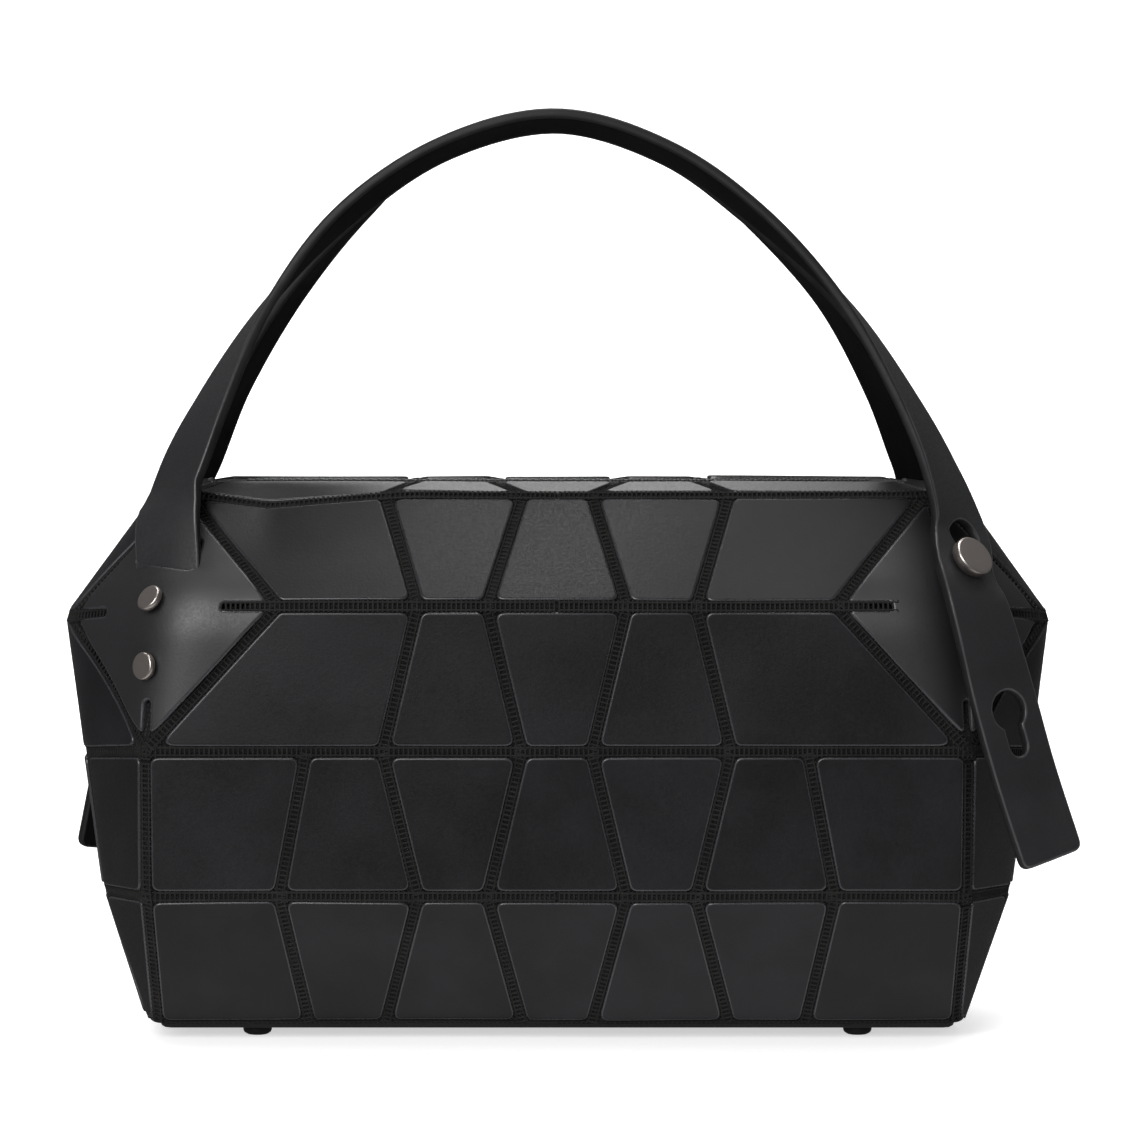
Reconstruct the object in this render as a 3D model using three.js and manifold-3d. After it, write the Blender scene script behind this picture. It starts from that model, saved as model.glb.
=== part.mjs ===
// Boston bag: a hollow mesh body that carries bonded plates, four smooth corner patches,
// two leather handles with studs and keyholes, a zip, a base panel and four feet.
// Millimetres, +Z up, front of the bag towards -Y, origin on the floor under the bag's centre.
import * as THREE from "three";
import { mergeVertices } from "three/addons/utils/BufferGeometryUtils.js";
import Module from "manifold-3d";

const wasm = await Module();
wasm.setup();

// Driving dimensions
const MESH_WALL = 1.8;
const PLATE_THICK = 1.0;
const PLATE_EMBED = 1.4;
const GROOVE_WIDTH = 3.3;
const PATCH_THICK = 1.6;
const FIT_GAP = 0.3;
const PATCH_GAP = 0.9;
const CORNER_STEPS = 4;

const STRAP_WIDTH = 22;
const STRAP_THICK = 3;
const STRAP_EDGE_CHAMFER = 0.7;
const STRAP_TIP_RADIUS = 2.6;
const STRAP_STEPS = 34;
const STRAP_REST_GAP = 1.5;
const SLOT_CLEARANCE = 0.45;

const RIVET_CAP_RADIUS = 4.0;
const RIVET_CAP_HEIGHT = 1.5;
const STUD_HEAD_RADIUS = 6.2;
const STUD_HEAD_HEIGHT = 3.2;
const STUD_NECK_RADIUS = 2.4;
const STUD_FLANGE_DROP = 0.9;
const RIVET_HEAD_DROP = 3.1;
const KEYHOLE_RADIUS = 5.6;
const KEYHOLE_SLOT_RADIUS = 3.0;
const KEYHOLE_RISE = 10.5;
const KEYHOLE_PITCH = 56;

const FOOT_RADIUS = 4.2;
const FOOT_HEIGHT = 3.0;
const FOOT_X = 88;
const FOOT_Y = 25;
const BASE_PANEL_THICK = 1.6;
const BASE_PANEL_INSET = 3;

const ZIP_TAPE_THICK = 1.2;
const ZIP_CHAIN_WIDTH = 5;
const ZIP_CHAIN_HEIGHT = 2.2;

// Fold lines of the body, from the base up to the rim of the zip mouth.
// half_depth, corner_x and round place the front wall and its corner, ridge_x and ridge_y the end wall,
// and end_drop is how far the fold sinks from the front wall to the end wall.
// seam_inner, seam_middle and seam_outer are the seams between plates, from the middle of the front wall,
// and corner_shift is how far the corner's seam lies past the middle of its bend.
const FOLDS = [
  { name: "base", z: 5.0, half_depth: 36.5, corner_x: 116.5, round: 3, end_drop: 0,
    ridge_x: 119.5, ridge_y: 29, seam_inner: 10, seam_middle: 50, seam_outer: 72, corner_shift: 0 },
  { name: "low", z: 44.5, half_depth: 51.5, corner_x: 118.4, round: 3, end_drop: 2.5,
    ridge_x: 132.8, ridge_y: 20, seam_inner: 20, seam_middle: 40, seam_outer: 80, corner_shift: 0 },
  { name: "mid", z: 86.6, half_depth: 52.5, corner_x: 118.5, round: 3, end_drop: 4,
    ridge_x: 138.3, ridge_y: 20, seam_inner: 10, seam_middle: 50, seam_outer: 72, corner_shift: 0 },
  { name: "high", z: 128.3, half_depth: 51.5, corner_x: 111, round: 7, end_drop: 6,
    ridge_x: 143.3, ridge_y: 20, seam_inner: 20, seam_middle: 40, seam_outer: 80, corner_shift: 6 },
  { name: "top", z: 158.2, half_depth: 25, corner_x: 108, round: 8, end_drop: 1,
    ridge_x: 118, ridge_y: 10, seam_inner: 10, seam_middle: 50, seam_outer: 80, corner_shift: 0 },
  { name: "rim", z: 160.8, half_depth: 9, corner_x: 98, round: 4, end_drop: 0,
    ridge_x: 101, ridge_y: 5, seam_inner: 20, seam_middle: 40, seam_outer: 80, corner_shift: 0 },
];
// Levels of the wall's sections: folds are whole numbers, and the patched rows have more between.
const WALL_LEVELS = [0, 1, 2, 2.5, 3, 3.5, 4, 5];
const HIGH = 3;
const TOP = 4;
const RIM = 5;

// Plates of each row between two folds: each plate runs from one edge to another along the wall.
const SIDE_PLATES = [
  { from: "mirror_inner", to: "seam_inner" },
  { from: "seam_inner", to: "seam_middle" },
  { from: "seam_middle", to: "seam_outer" },
  { from: "seam_outer", to: "corner" },
  { from: "corner", to: "ridge" },
  { from: "ridge", to: "mirror_ridge" },
];
const PATCHED_PLATES = [
  { from: "mirror_inner", to: "seam_inner" },
  { from: "seam_inner", to: "seam_middle" },
  { from: "seam_middle", to: "patch_front" },
  { from: "patch_end", to: "end_middle" },
];
const LID_PLATES = [
  { from: "mirror_inner", to: "seam_inner" },
  { from: "seam_inner", to: "seam_middle" },
  { from: "seam_middle", to: "corner" },
  { from: "corner", to: "mirror_corner" },
];
// Facets of a plate, by the edge that it starts from: plates over a bend need more.
const PLATE_GRIDS = {
  flat: { columns: 1, rows: 1 },
  seam_middle: { columns: 2, rows: 2 },
  corner: { columns: 2, rows: 2 },
  patch_end: { columns: 4, rows: 2 },
};
const ROWS = [SIDE_PLATES, SIDE_PLATES, PATCHED_PLATES, PATCHED_PLATES, LID_PLATES];

// Free stations of each handle from its fixed end over the crown to its stud, as seen from its own side.
// face_y is how far the outer face turns to the front (negative) or the back,
// and bend is the curvature of the strap's front half, which curls round the bag's corner.
const ARCHES = {
  front: [
    { x: -110, y: -28.5, z: 163, face_y: -0.6, bend: 0.008 },
    { x: -101, y: -23.5, z: 183.5, face_y: -0.42, bend: 0.002 },
    { x: -85, y: -18.5, z: 212.5, face_y: -0.06, bend: 0 },
    { x: -62.5, y: -15, z: 239, face_y: 0.2, bend: 0 },
    { x: -33, y: -12.5, z: 259, face_y: 0.2, bend: 0 },
    { x: 0, y: -12, z: 267, face_y: 0.2, bend: 0 },
    { x: 32.5, y: -12.5, z: 257.5, face_y: 0.2, bend: 0 },
    { x: 59.5, y: -15, z: 238.5, face_y: 0.18, bend: 0 },
    { x: 84, y: -18.5, z: 213.5, face_y: -0.04, bend: 0 },
    { x: 101.5, y: -24, z: 186, face_y: -0.26, bend: 0.002 },
    { x: 111, y: -29, z: 166.5, face_y: -0.43, bend: 0.008 },
  ],
  back: [
    { x: -108, y: -28.5, z: 163, face_y: -0.54, bend: 0.008 },
    { x: -99, y: -23.5, z: 183.5, face_y: -0.4, bend: 0.002 },
    { x: -81, y: -18.5, z: 212.5, face_y: -0.17, bend: 0 },
    { x: -54.5, y: -15, z: 239, face_y: 0.03, bend: 0 },
    { x: -31.5, y: -12.5, z: 257, face_y: 0.17, bend: 0 },
    { x: 0, y: -12, z: 266.5, face_y: 0.2, bend: 0 },
    { x: 33, y: -12.5, z: 258.5, face_y: 0.2, bend: 0 },
    { x: 58.5, y: -15, z: 238.5, face_y: -0.03, bend: 0 },
    { x: 80, y: -18.5, z: 213.5, face_y: -0.17, bend: 0 },
    { x: 96.5, y: -24, z: 186, face_y: -0.22, bend: 0.002 },
    { x: 106, y: -29, z: 166.5, face_y: -0.36, bend: 0.008 },
  ],
};
// Tail of each handle below its stud, hanging free off the corner.
const TAILS = {
  front: [
    { x: 126.9, y: -54.6, z: 105 },
    { x: 133.6, y: -56.4, z: 81 },
    { x: 140.9, y: -58.2, z: 58.5 },
  ],
  back: [
    { x: 127, y: -54, z: 100 },
    { x: 132.5, y: -55, z: 73 },
    { x: 138, y: -56, z: 46 },
  ],
};
const TAIL_FACE = new THREE.Vector3(0.54, -0.82, 0.2);
const TAIL_BEND = 0.01;
const STUD_BEND = 0.006;

// Places on a corner patch: across runs from -1 at its front tip to 1 at its end tip,
// up runs from -1 at its lower tip to 1 at its upper tip, and turn swings the strap's face to the end wall.
const ANCHOR_PLACES = [
  { up: -0.55, lift: "behind", bend: 0.06, turn: 0 },
  { up: -0.25, lift: "behind", bend: 0.06, turn: 0 },
  { up: 0.17, lift: "behind", bend: 0.05, turn: 0.04 },
  { up: 0.6, lift: "over_fold", bend: 0.02, turn: 0.15 },
];
const RIVET_PLACES = [
  { name: "upper", up: 0.04 },
  { name: "lower", up: -0.41 },
];
const STUD_PLACE = { across: 0.01, up: 0.28 };
const PATCH_TIP = 0.03;
const PATCH_SLIT_LENGTH = 0.42;
const PATCH_SLIT_WIDTH = 2.6;

// Materials
const paint = (color, roughness, metalness) =>
  new THREE.MeshStandardMaterial({ color, roughness, metalness });
const PLATE_PAINT = paint(0x26252a, 0.42, 0);
const PATCH_PAINT = paint(0x2a292d, 0.4, 0);
const LEATHER_PAINT = paint(0x1f1f21, 0.5, 0);
const METAL_PAINT = paint(0x6f6a66, 0.25, 1);
const RUBBER_PAINT = paint(0x101010, 0.6, 0);
const ZIP_PAINT = paint(0x141415, 0.7, 0);

// Solids
const vec = (x, y, z) => new THREE.Vector3(x, y, z);

function solidOf(geometry) {
  const bare = geometry.clone();
  bare.deleteAttribute("normal");
  bare.deleteAttribute("uv");
  const merged = mergeVertices(bare, 1e-4);
  const vertProperties = new Float32Array(merged.attributes.position.array);
  const triVerts = new Uint32Array(merged.index.array);
  return new wasm.Manifold(new wasm.Mesh({ numProp: 3, vertProperties, triVerts }));
}

function geometryOf(solid) {
  const { vertProperties, triVerts } = solid.getMesh();
  const geometry = new THREE.BufferGeometry();
  geometry.setAttribute("position", new THREE.BufferAttribute(vertProperties, 3));
  geometry.setIndex(new THREE.BufferAttribute(triVerts, 1));
  geometry.computeVertexNormals();
  return geometry;
}

function signedVolume(points, triangles) {
  return triangles.reduce((sum, [i, j, k]) => {
    const normal = vec().crossVectors(points[j], points[k]);
    return sum + points[i].dot(normal) / 6;
  }, 0);
}

function closedGeometry(points, triangles) {
  const outward = signedVolume(points, triangles) >= 0;
  const ordered = triangles.map(([i, j, k]) => (outward ? [i, j, k] : [i, k, j]));
  return new THREE.BufferGeometry().setFromPoints(points).setIndex(ordered.flat());
}

// A closed solid through rings of equal count, capped at its first and last ring.
function loft(rings) {
  const count = rings[0].length;
  const points = rings.flat();
  const triangles = [];
  for (let ring = 0; ring + 1 < rings.length; ring++) {
    for (let i = 0; i < count; i++) {
      const next = (i + 1) % count;
      const [a, b] = [ring * count + i, ring * count + next];
      triangles.push([a, b, b + count], [a, b + count, a + count]);
    }
  }
  const cap = (ring, flip) => {
    const centre = points.length;
    points.push(rings[ring].reduce((sum, p) => sum.add(p), vec()).divideScalar(count));
    for (let i = 0; i < count; i++) {
      const edge = [ring * count + i, ring * count + ((i + 1) % count)];
      triangles.push(flip ? [centre, edge[1], edge[0]] : [centre, edge[0], edge[1]]);
    }
  };
  cap(0, true);
  cap(rings.length - 1, false);
  return closedGeometry(points, triangles);
}

// A curved slab over a unit square: place(u, v) gives a wall point and its normal,
// and the slab fills the space between two heights along that normal.
function slab(place, columns, rows, low, high) {
  const points = [];
  const triangles = [];
  const stride = columns + 1;
  const layer = stride * (rows + 1);
  for (const height of [low, high]) {
    for (let j = 0; j <= rows; j++) {
      for (let i = 0; i <= columns; i++) {
        const { point, normal } = place(i / columns, j / rows);
        points.push(point.clone().addScaledVector(normal, height));
      }
    }
  }
  const quad = (a, b, c, d) => triangles.push([a, b, c], [a, c, d]);
  for (let j = 0; j < rows; j++) {
    for (let i = 0; i < columns; i++) {
      const at = j * stride + i;
      quad(at + 1 + layer, at + 1 + stride + layer, at + stride + layer, at + layer);
      quad(at + stride, at + 1 + stride, at + 1, at);
    }
  }
  for (let i = 0; i < columns; i++) {
    const far = rows * stride + i;
    quad(i, i + 1, i + 1 + layer, i + layer);
    quad(far + 1, far, far + layer, far + 1 + layer);
  }
  for (let j = 0; j < rows; j++) {
    const [near, far] = [j * stride, j * stride + columns];
    quad(near + stride, near, near + layer, near + stride + layer);
    quad(far, far + stride, far + stride + layer, far + layer);
  }
  return closedGeometry(points, triangles);
}

// A turned solid about its own axis, set at a point along a direction; profile holds [radius, height].
function turned(profile, sides, point, direction) {
  const outline = profile.map(([radius, height]) => new THREE.Vector2(radius, height));
  const toDirection = new THREE.Quaternion().setFromUnitVectors(vec(0, 1, 0), direction);
  const matrix = new THREE.Matrix4().compose(point, toDirection, vec(1, 1, 1));
  return new THREE.LatheGeometry(outline, sides).applyMatrix4(matrix);
}

// Body wall
function foldAt(level) {
  const below = Math.min(Math.floor(level), RIM - 1);
  const share = level - below;
  const mixed = {};
  for (const key of Object.keys(FOLDS[below])) {
    if (key === "name") continue;
    mixed[key] = THREE.MathUtils.lerp(FOLDS[below][key], FOLDS[below + 1][key], share);
  }
  return mixed;
}

// Height of a fold at a distance from the bag's middle plane.
function foldHeight(fold, depth) {
  const share = (fold.half_depth - depth) / (fold.half_depth - fold.ridge_y);
  return fold.z - fold.end_drop * THREE.MathUtils.clamp(share, 0, 1);
}

// Corners of one quarter of a section, from the front wall round to the end ridge.
function quarterCorners(fold) {
  const corner = new THREE.Vector2(fold.corner_x, fold.half_depth);
  const ridge = new THREE.Vector2(fold.ridge_x, fold.ridge_y);
  const reach = Math.min(fold.round, corner.distanceTo(ridge) * 0.8);
  const start = new THREE.Vector2(fold.corner_x - fold.round, fold.half_depth);
  const end = corner.clone().add(ridge.clone().sub(corner).setLength(reach));
  const bend = new THREE.QuadraticBezierCurve(start, corner, end);
  return [...bend.getPoints(CORNER_STEPS), ridge];
}

// Distances along a quarter section of the corner, the ridge and the middle of the end wall.
function quarterPath(level) {
  const fold = foldAt(level);
  const corners = quarterCorners(fold);
  const points = [
    new THREE.Vector2(0, fold.half_depth),
    ...corners,
    new THREE.Vector2(fold.ridge_x, 0),
  ];
  const along = [0];
  for (let i = 1; i < points.length; i++) {
    along.push(along[i - 1] + points[i].distanceTo(points[i - 1]));
  }
  const corner = (along[1] + along[1 + CORNER_STEPS]) / 2 + fold.corner_shift;
  return { fold, points, along, corner, ridge: along.at(-2), end: along.at(-1) };
}

// A point of the body wall; quarter holds the signs of x and y.
function wallPoint(level, distance, quarter) {
  const path = quarterPath(level);
  let [sideX, sideY] = quarter;
  let s = distance;
  if (s < 0) {
    s = -s;
    sideX = -sideX;
  }
  if (s > path.end) {
    s = 2 * path.end - s;
    sideY = -sideY;
  }
  let i = 1;
  while (i < path.along.length - 1 && path.along[i] < s) i++;
  const share = (s - path.along[i - 1]) / (path.along[i] - path.along[i - 1]);
  const flat = path.points[i - 1].clone().lerp(path.points[i], share);
  return vec(sideX * flat.x, sideY * flat.y, foldHeight(path.fold, flat.y));
}

// The wall point with its outward normal.
function wallPlace(level, distance, quarter) {
  const [stepLevel, stepAlong] = [0.02, 0.6];
  const across = wallPoint(level, distance + stepAlong, quarter)
    .sub(wallPoint(level, distance - stepAlong, quarter));
  const up = wallPoint(Math.min(level + stepLevel, RIM), distance, quarter)
    .sub(wallPoint(Math.max(level - stepLevel, 0), distance, quarter));
  const normal = vec().crossVectors(across, up).normalize();
  if (quarter[0] * quarter[1] > 0) normal.negate();
  return { point: wallPoint(level, distance, quarter), normal };
}

function sectionRing(fold) {
  const corners = quarterCorners(fold);
  const place = (sideX, sideY) => (p) => vec(sideX * p.x, sideY * p.y, foldHeight(fold, p.y));
  const backwards = [...corners].reverse();
  return [
    ...corners.map(place(1, -1)),
    ...backwards.map(place(1, 1)),
    ...corners.map(place(-1, 1)),
    ...backwards.map(place(-1, -1)),
  ];
}

// The fold on the inside of the mesh wall.
function insideFold(fold, index) {
  const lean = index === RIM ? 0 : 1;
  const drop = index === 0 ? MESH_WALL : index >= TOP ? -MESH_WALL : 0;
  return {
    ...fold,
    z: fold.z + drop,
    half_depth: fold.half_depth - lean * MESH_WALL,
    corner_x: fold.corner_x - lean * MESH_WALL,
    ridge_x: fold.ridge_x - lean * MESH_WALL,
  };
}

function meshWall() {
  const outside = WALL_LEVELS.map((level) => sectionRing(foldAt(level)));
  const inside = FOLDS.map(insideFold).map(sectionRing).reverse();
  return solidOf(loft([...outside, ...inside]));
}

// Plates
function edgeAlong(edge, level) {
  const path = quarterPath(level);
  const seams = path.fold;
  const reach = 1 - Math.abs(level - HIGH);
  const places = {
    mirror_inner: -seams.seam_inner,
    seam_inner: seams.seam_inner,
    seam_middle: seams.seam_middle,
    seam_outer: seams.seam_outer,
    corner: path.corner,
    ridge: path.ridge,
    end_middle: path.end,
    mirror_ridge: 2 * path.end - path.ridge,
    mirror_corner: 2 * path.end - path.corner,
    patch_front: path.corner - reach * patchReach().front,
    patch_end: path.corner + reach * patchReach().end,
  };
  return places[edge];
}

function plate(row, { from, to }, quarter) {
  const half = GROOVE_WIDTH / 2;
  const rowHeight = wallPoint(row, 0, quarter).distanceTo(wallPoint(row + 1, 0, quarter));
  const inset = half / rowHeight;
  const place = (u, v) => {
    const level = row + inset + v * (1 - 2 * inset);
    const [left, right] = [edgeAlong(from, level) + half, edgeAlong(to, level) - half];
    return wallPlace(level, THREE.MathUtils.lerp(left, right, u), quarter);
  };
  const { columns, rows } = PLATE_GRIDS[from] ?? PLATE_GRIDS.flat;
  return solidOf(slab(place, columns, rows, -PLATE_EMBED, PLATE_THICK));
}

const QUARTERS = [[1, -1], [-1, -1], [1, 1], [-1, 1]];

function platesOfBody() {
  const plates = [];
  ROWS.forEach((list, row) => {
    for (const piece of list) {
      const acrossFront = piece.from.startsWith("mirror");
      const acrossEnd = piece.to.startsWith("mirror");
      for (const quarter of QUARTERS) {
        if (acrossFront && quarter[0] < 0) continue;
        if (acrossEnd && quarter[1] > 0) continue;
        plates.push(plate(row, piece, quarter));
      }
    }
  });
  return plates;
}

// Corner patches
function patchReach() {
  const path = quarterPath(HIGH);
  return { front: path.corner - path.fold.seam_outer, end: path.ridge - path.corner };
}

function patchPlace(across, up, quarter) {
  const level = HIGH + up;
  const { front, end } = patchReach();
  const along = quarterPath(level).corner + across * (across < 0 ? front : end);
  return wallPlace(level, along, quarter);
}

const PATCH_LOW = PATCH_GAP;
const PATCH_HIGH = PATCH_GAP + PATCH_THICK;

function patchSolid(quarter) {
  const { front } = patchReach();
  const reach = 1 - GROOVE_WIDTH / Math.SQRT2 / front;
  const place = (u, v) => {
    const up = (2 * v - 1) * (reach - PATCH_TIP);
    return patchPlace((2 * u - 1) * (reach - Math.abs(up)), up, quarter);
  };
  let solid = solidOf(slab(place, 10, 4, PATCH_LOW, PATCH_HIGH));
  const halfWidth = PATCH_SLIT_WIDTH / 2 / front;
  const slit = (toPlace) =>
    solidOf(slab(toPlace, 2, 1, PATCH_LOW - 3, PATCH_HIGH + 4));
  const run = (u) => 1 - PATCH_SLIT_LENGTH + u * (PATCH_SLIT_LENGTH + 0.25);
  const off = (v) => (2 * v - 1) * halfWidth;
  const clamp = (value) => THREE.MathUtils.clamp(value, -0.99, 0.99);
  solid = solid.subtract(slit((u, v) => patchPlace(-run(u), off(v), quarter)));
  solid = solid.subtract(slit((u, v) => patchPlace(run(u), off(v), quarter)));
  solid = solid.subtract(slit((u, v) => patchPlace(off(v), clamp(-run(u)), quarter)));
  return solid.subtract(slit((u, v) => patchPlace(off(v), clamp(run(u)), quarter)));
}

// Handles
const LIFT = {
  behind: PATCH_LOW - 2 * FIT_GAP - STRAP_THICK / 2,
  outside: PATCH_HIGH + STRAP_REST_GAP + STRAP_THICK / 2,
  over_fold: PATCH_HIGH + STRAP_REST_GAP + STRAP_THICK / 2 + 1.2,
};
const FRONT_LEFT = [-1, -1];
const FRONT_RIGHT = [1, -1];

function liftedPlace({ across = 0, up, lift, bend, turn }, quarter) {
  const { point, normal } = patchPlace(across, up, quarter);
  const face = normal.clone().add(vec(quarter[0] * turn, 0, 0)).normalize();
  return { point: point.addScaledVector(normal, LIFT[lift]), face, bend };
}

// The handle's outer face stands square to its run in the arch's plane, then turns by face_y.
function archFace({ x, z, face_y }) {
  const outward = vec(x / 118, 0, (z - 150) / 118).normalize();
  return outward.multiplyScalar(Math.sqrt(1 - face_y * face_y)).setY(face_y);
}

function handleStations(depthName) {
  const arch = (station) => ({
    point: vec(station.x, station.y, station.z),
    face: archFace(station),
    bend: station.bend,
  });
  const tail = ({ x, y, z }) => ({ point: vec(x, y, z), face: TAIL_FACE.clone(), bend: TAIL_BEND });
  return [
    ...ANCHOR_PLACES.map((place) => liftedPlace(place, FRONT_LEFT)),
    ...ARCHES[depthName].map(arch),
    liftedPlace({ across: 0.08, up: 0.6, lift: "outside", bend: STUD_BEND, turn: 0.1 }, FRONT_RIGHT),
    liftedPlace({ ...STUD_PLACE, lift: "outside", bend: STUD_BEND, turn: 0.1 }, FRONT_RIGHT),
    liftedPlace({ across: 0, up: 0, lift: "over_fold", bend: STUD_BEND, turn: -0.1 }, FRONT_RIGHT),
    ...TAILS[depthName].map(tail),
  ];
}

// Centre line and face of the handle as smooth curves.
function handleRun(depthName) {
  const stations = handleStations(depthName);
  const line = new THREE.CatmullRomCurve3(stations.map((s) => s.point), false, "centripetal");
  const faces = new THREE.CatmullRomCurve3(stations.map((s) => s.face), false, "catmullrom");
  const last = stations.length - 1;
  const bendAt = (t) => {
    const before = Math.min(Math.floor(t * last), last - 1);
    return THREE.MathUtils.lerp(stations[before].bend, stations[before + 1].bend, t * last - before);
  };
  const frame = (t) => {
    const tangent = line.getTangent(t);
    const face = faces.getPoint(t);
    face.addScaledVector(tangent, -face.dot(tangent)).normalize();
    const width = vec().crossVectors(tangent, face);
    return { point: line.getPoint(t), tangent, face, width, bend: bendAt(t) };
  };
  return { frame, line, last };
}

function strapRing({ point, face, width, bend }, halfWidth, halfThick, chamfer) {
  const inner = halfWidth - chamfer;
  const spread = [-inner, 0, inner];
  const side = halfThick - chamfer;
  const flat = [
    [-halfWidth, -side], ...spread.map((w) => [w, -halfThick]), [halfWidth, -side],
    [halfWidth, side], ...spread.map((w) => [-w, halfThick]), [-halfWidth, side],
  ];
  return flat.map(([w, h]) => {
    const curl = Math.max(w, 0) * bend;
    const drop = curl > 1e-6 ? (1 - Math.cos(curl)) / bend : 0;
    const across = curl > 1e-6 ? Math.sin(curl) / bend : w;
    return point.clone()
      .addScaledVector(width, across + h * Math.sin(curl))
      .addScaledVector(face, h * Math.cos(curl) - drop);
  });
}

// The strap between two places on its run, larger all round by a clearance.
function strapSolid(run, from, to, steps, clearance) {
  const halfThick = STRAP_THICK / 2 + clearance;
  const halfWidth = STRAP_WIDTH / 2 + clearance;
  const rings = [];
  for (let i = 0; i <= steps; i++) {
    const t = THREE.MathUtils.lerp(from, to, i / steps);
    rings.push(strapRing(run.frame(t), halfWidth, halfThick, STRAP_EDGE_CHAMFER));
  }
  if (to === 1) {
    const tip = run.frame(1);
    for (const share of [0.65, 1]) {
      const point = tip.point.clone().addScaledVector(tip.tangent, share * STRAP_TIP_RADIUS);
      const drawnIn = STRAP_TIP_RADIUS * (1 - Math.sqrt(1 - share * share));
      rings.push(strapRing({ ...tip, point }, halfWidth - drawnIn, halfThick, STRAP_EDGE_CHAMFER));
    }
  }
  return solidOf(loft(rings));
}

function keyholeCutter(frame) {
  const shape = new THREE.Shape();
  const side = Math.asin(KEYHOLE_SLOT_RADIUS / KEYHOLE_RADIUS);
  shape.absarc(0, KEYHOLE_RISE, KEYHOLE_RADIUS, -Math.PI / 2 + side, 1.5 * Math.PI - side, false);
  shape.absarc(0, 0, KEYHOLE_SLOT_RADIUS, Math.PI, 2 * Math.PI, false);
  const depth = 4 * STRAP_THICK;
  const block = new THREE.ExtrudeGeometry(shape, { depth, bevelEnabled: false, curveSegments: 4 });
  block.translate(0, 0, -depth / 2);
  const up = frame.tangent.clone().negate();
  const basis = new THREE.Matrix4().makeBasis(vec().crossVectors(up, frame.face), up, frame.face);
  return solidOf(block.applyMatrix4(basis.setPosition(frame.point)));
}

// Metal fittings
function rivetAxis(place, quarter) {
  const { point, normal } = patchPlace(0, place.up, quarter);
  return { point, normal };
}

function rivetSolid(place, quarter) {
  const { point, normal } = rivetAxis(place, quarter);
  const seat = PATCH_HIGH + FIT_GAP;
  const inner = LIFT.behind - STRAP_THICK / 2 - RIVET_HEAD_DROP;
  const profile = [
    [0, inner - 1.2], [2.8, inner - 1.2], [2.8, inner], [1.3, inner], [1.3, seat],
    [RIVET_CAP_RADIUS, seat], [RIVET_CAP_RADIUS, seat + RIVET_CAP_HEIGHT * 0.6],
    [RIVET_CAP_RADIUS * 0.86, seat + RIVET_CAP_HEIGHT], [0, seat + RIVET_CAP_HEIGHT],
  ];
  return solidOf(turned(profile, 10, point, normal));
}

function studSolid(quarter) {
  const { point, normal } = patchPlace(STUD_PLACE.across, STUD_PLACE.up, quarter);
  const seat = PATCH_HIGH + FIT_GAP;
  const head = LIFT.outside + STRAP_THICK / 2 + 4 * FIT_GAP;
  const inner = -MESH_WALL - STUD_FLANGE_DROP;
  const profile = [
    [0, inner - 1.2], [3.4, inner - 1.2], [3.4, inner], [1.6, inner], [1.6, seat],
    [STUD_NECK_RADIUS, seat], [STUD_NECK_RADIUS, head],
    [STUD_HEAD_RADIUS, head], [STUD_HEAD_RADIUS, head + STUD_HEAD_HEIGHT * 0.72],
    [STUD_HEAD_RADIUS * 0.88, head + STUD_HEAD_HEIGHT], [0, head + STUD_HEAD_HEIGHT],
  ];
  return solidOf(turned(profile, 12, point, normal));
}

function boreThrough({ point, normal }, radius) {
  const profile = [[0, -9], [radius, -9], [radius, 9], [0, 9]];
  return solidOf(turned(profile, 8, point, normal));
}

// Base and zip
function basePanel() {
  const fold = FOLDS[0];
  const panel = (z) => sectionRing({
    ...fold,
    z,
    half_depth: fold.half_depth - BASE_PANEL_INSET,
    corner_x: fold.corner_x - BASE_PANEL_INSET,
    ridge_x: fold.ridge_x - BASE_PANEL_INSET,
  });
  const topZ = fold.z - FIT_GAP;
  return loft([panel(topZ - BASE_PANEL_THICK), panel(topZ)]);
}

function footGeometry(x, y) {
  const top = FOLDS[0].z - FIT_GAP - BASE_PANEL_THICK - FIT_GAP;
  const profile = [
    [0, 0], [FOOT_RADIUS * 0.72, 0], [FOOT_RADIUS, FOOT_HEIGHT * 0.45], [FOOT_RADIUS, top], [0, top],
  ];
  return turned(profile, 10, vec(x, y, 0), vec(0, 0, 1));
}

function zipClosure() {
  const rim = FOLDS[RIM];
  const tape = (z) => sectionRing({
    ...rim,
    z,
    half_depth: rim.half_depth - FIT_GAP,
    corner_x: rim.corner_x - FIT_GAP,
    ridge_x: rim.ridge_x - FIT_GAP,
  });
  const tapeSolid = solidOf(loft([tape(rim.z - ZIP_TAPE_THICK), tape(rim.z)]));
  const chainLength = 2 * (rim.corner_x - 6);
  const chain = new THREE.BoxGeometry(chainLength, ZIP_CHAIN_WIDTH, ZIP_CHAIN_HEIGHT);
  chain.translate(0, 0, rim.z - ZIP_TAPE_THICK / 2);
  return geometryOf(tapeSolid.add(solidOf(chain)));
}

// Assembly
const bag = new THREE.Group();

function addPiece(name, geometry, material, parent = bag) {
  const mesh = new THREE.Mesh(geometry, material);
  mesh.name = name;
  parent.add(mesh);
}

const halfTurn = new THREE.Matrix4().makeRotationZ(Math.PI);
const turnedRound = (solid) => solidOf(geometryOf(solid).applyMatrix4(halfTurn));
const studBore = boreThrough(patchPlace(STUD_PLACE.across, STUD_PLACE.up, FRONT_RIGHT), 1.9);
const rivetBores = RIVET_PLACES.map((place) => boreThrough(rivetAxis(place, FRONT_LEFT), 1.6));

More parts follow.
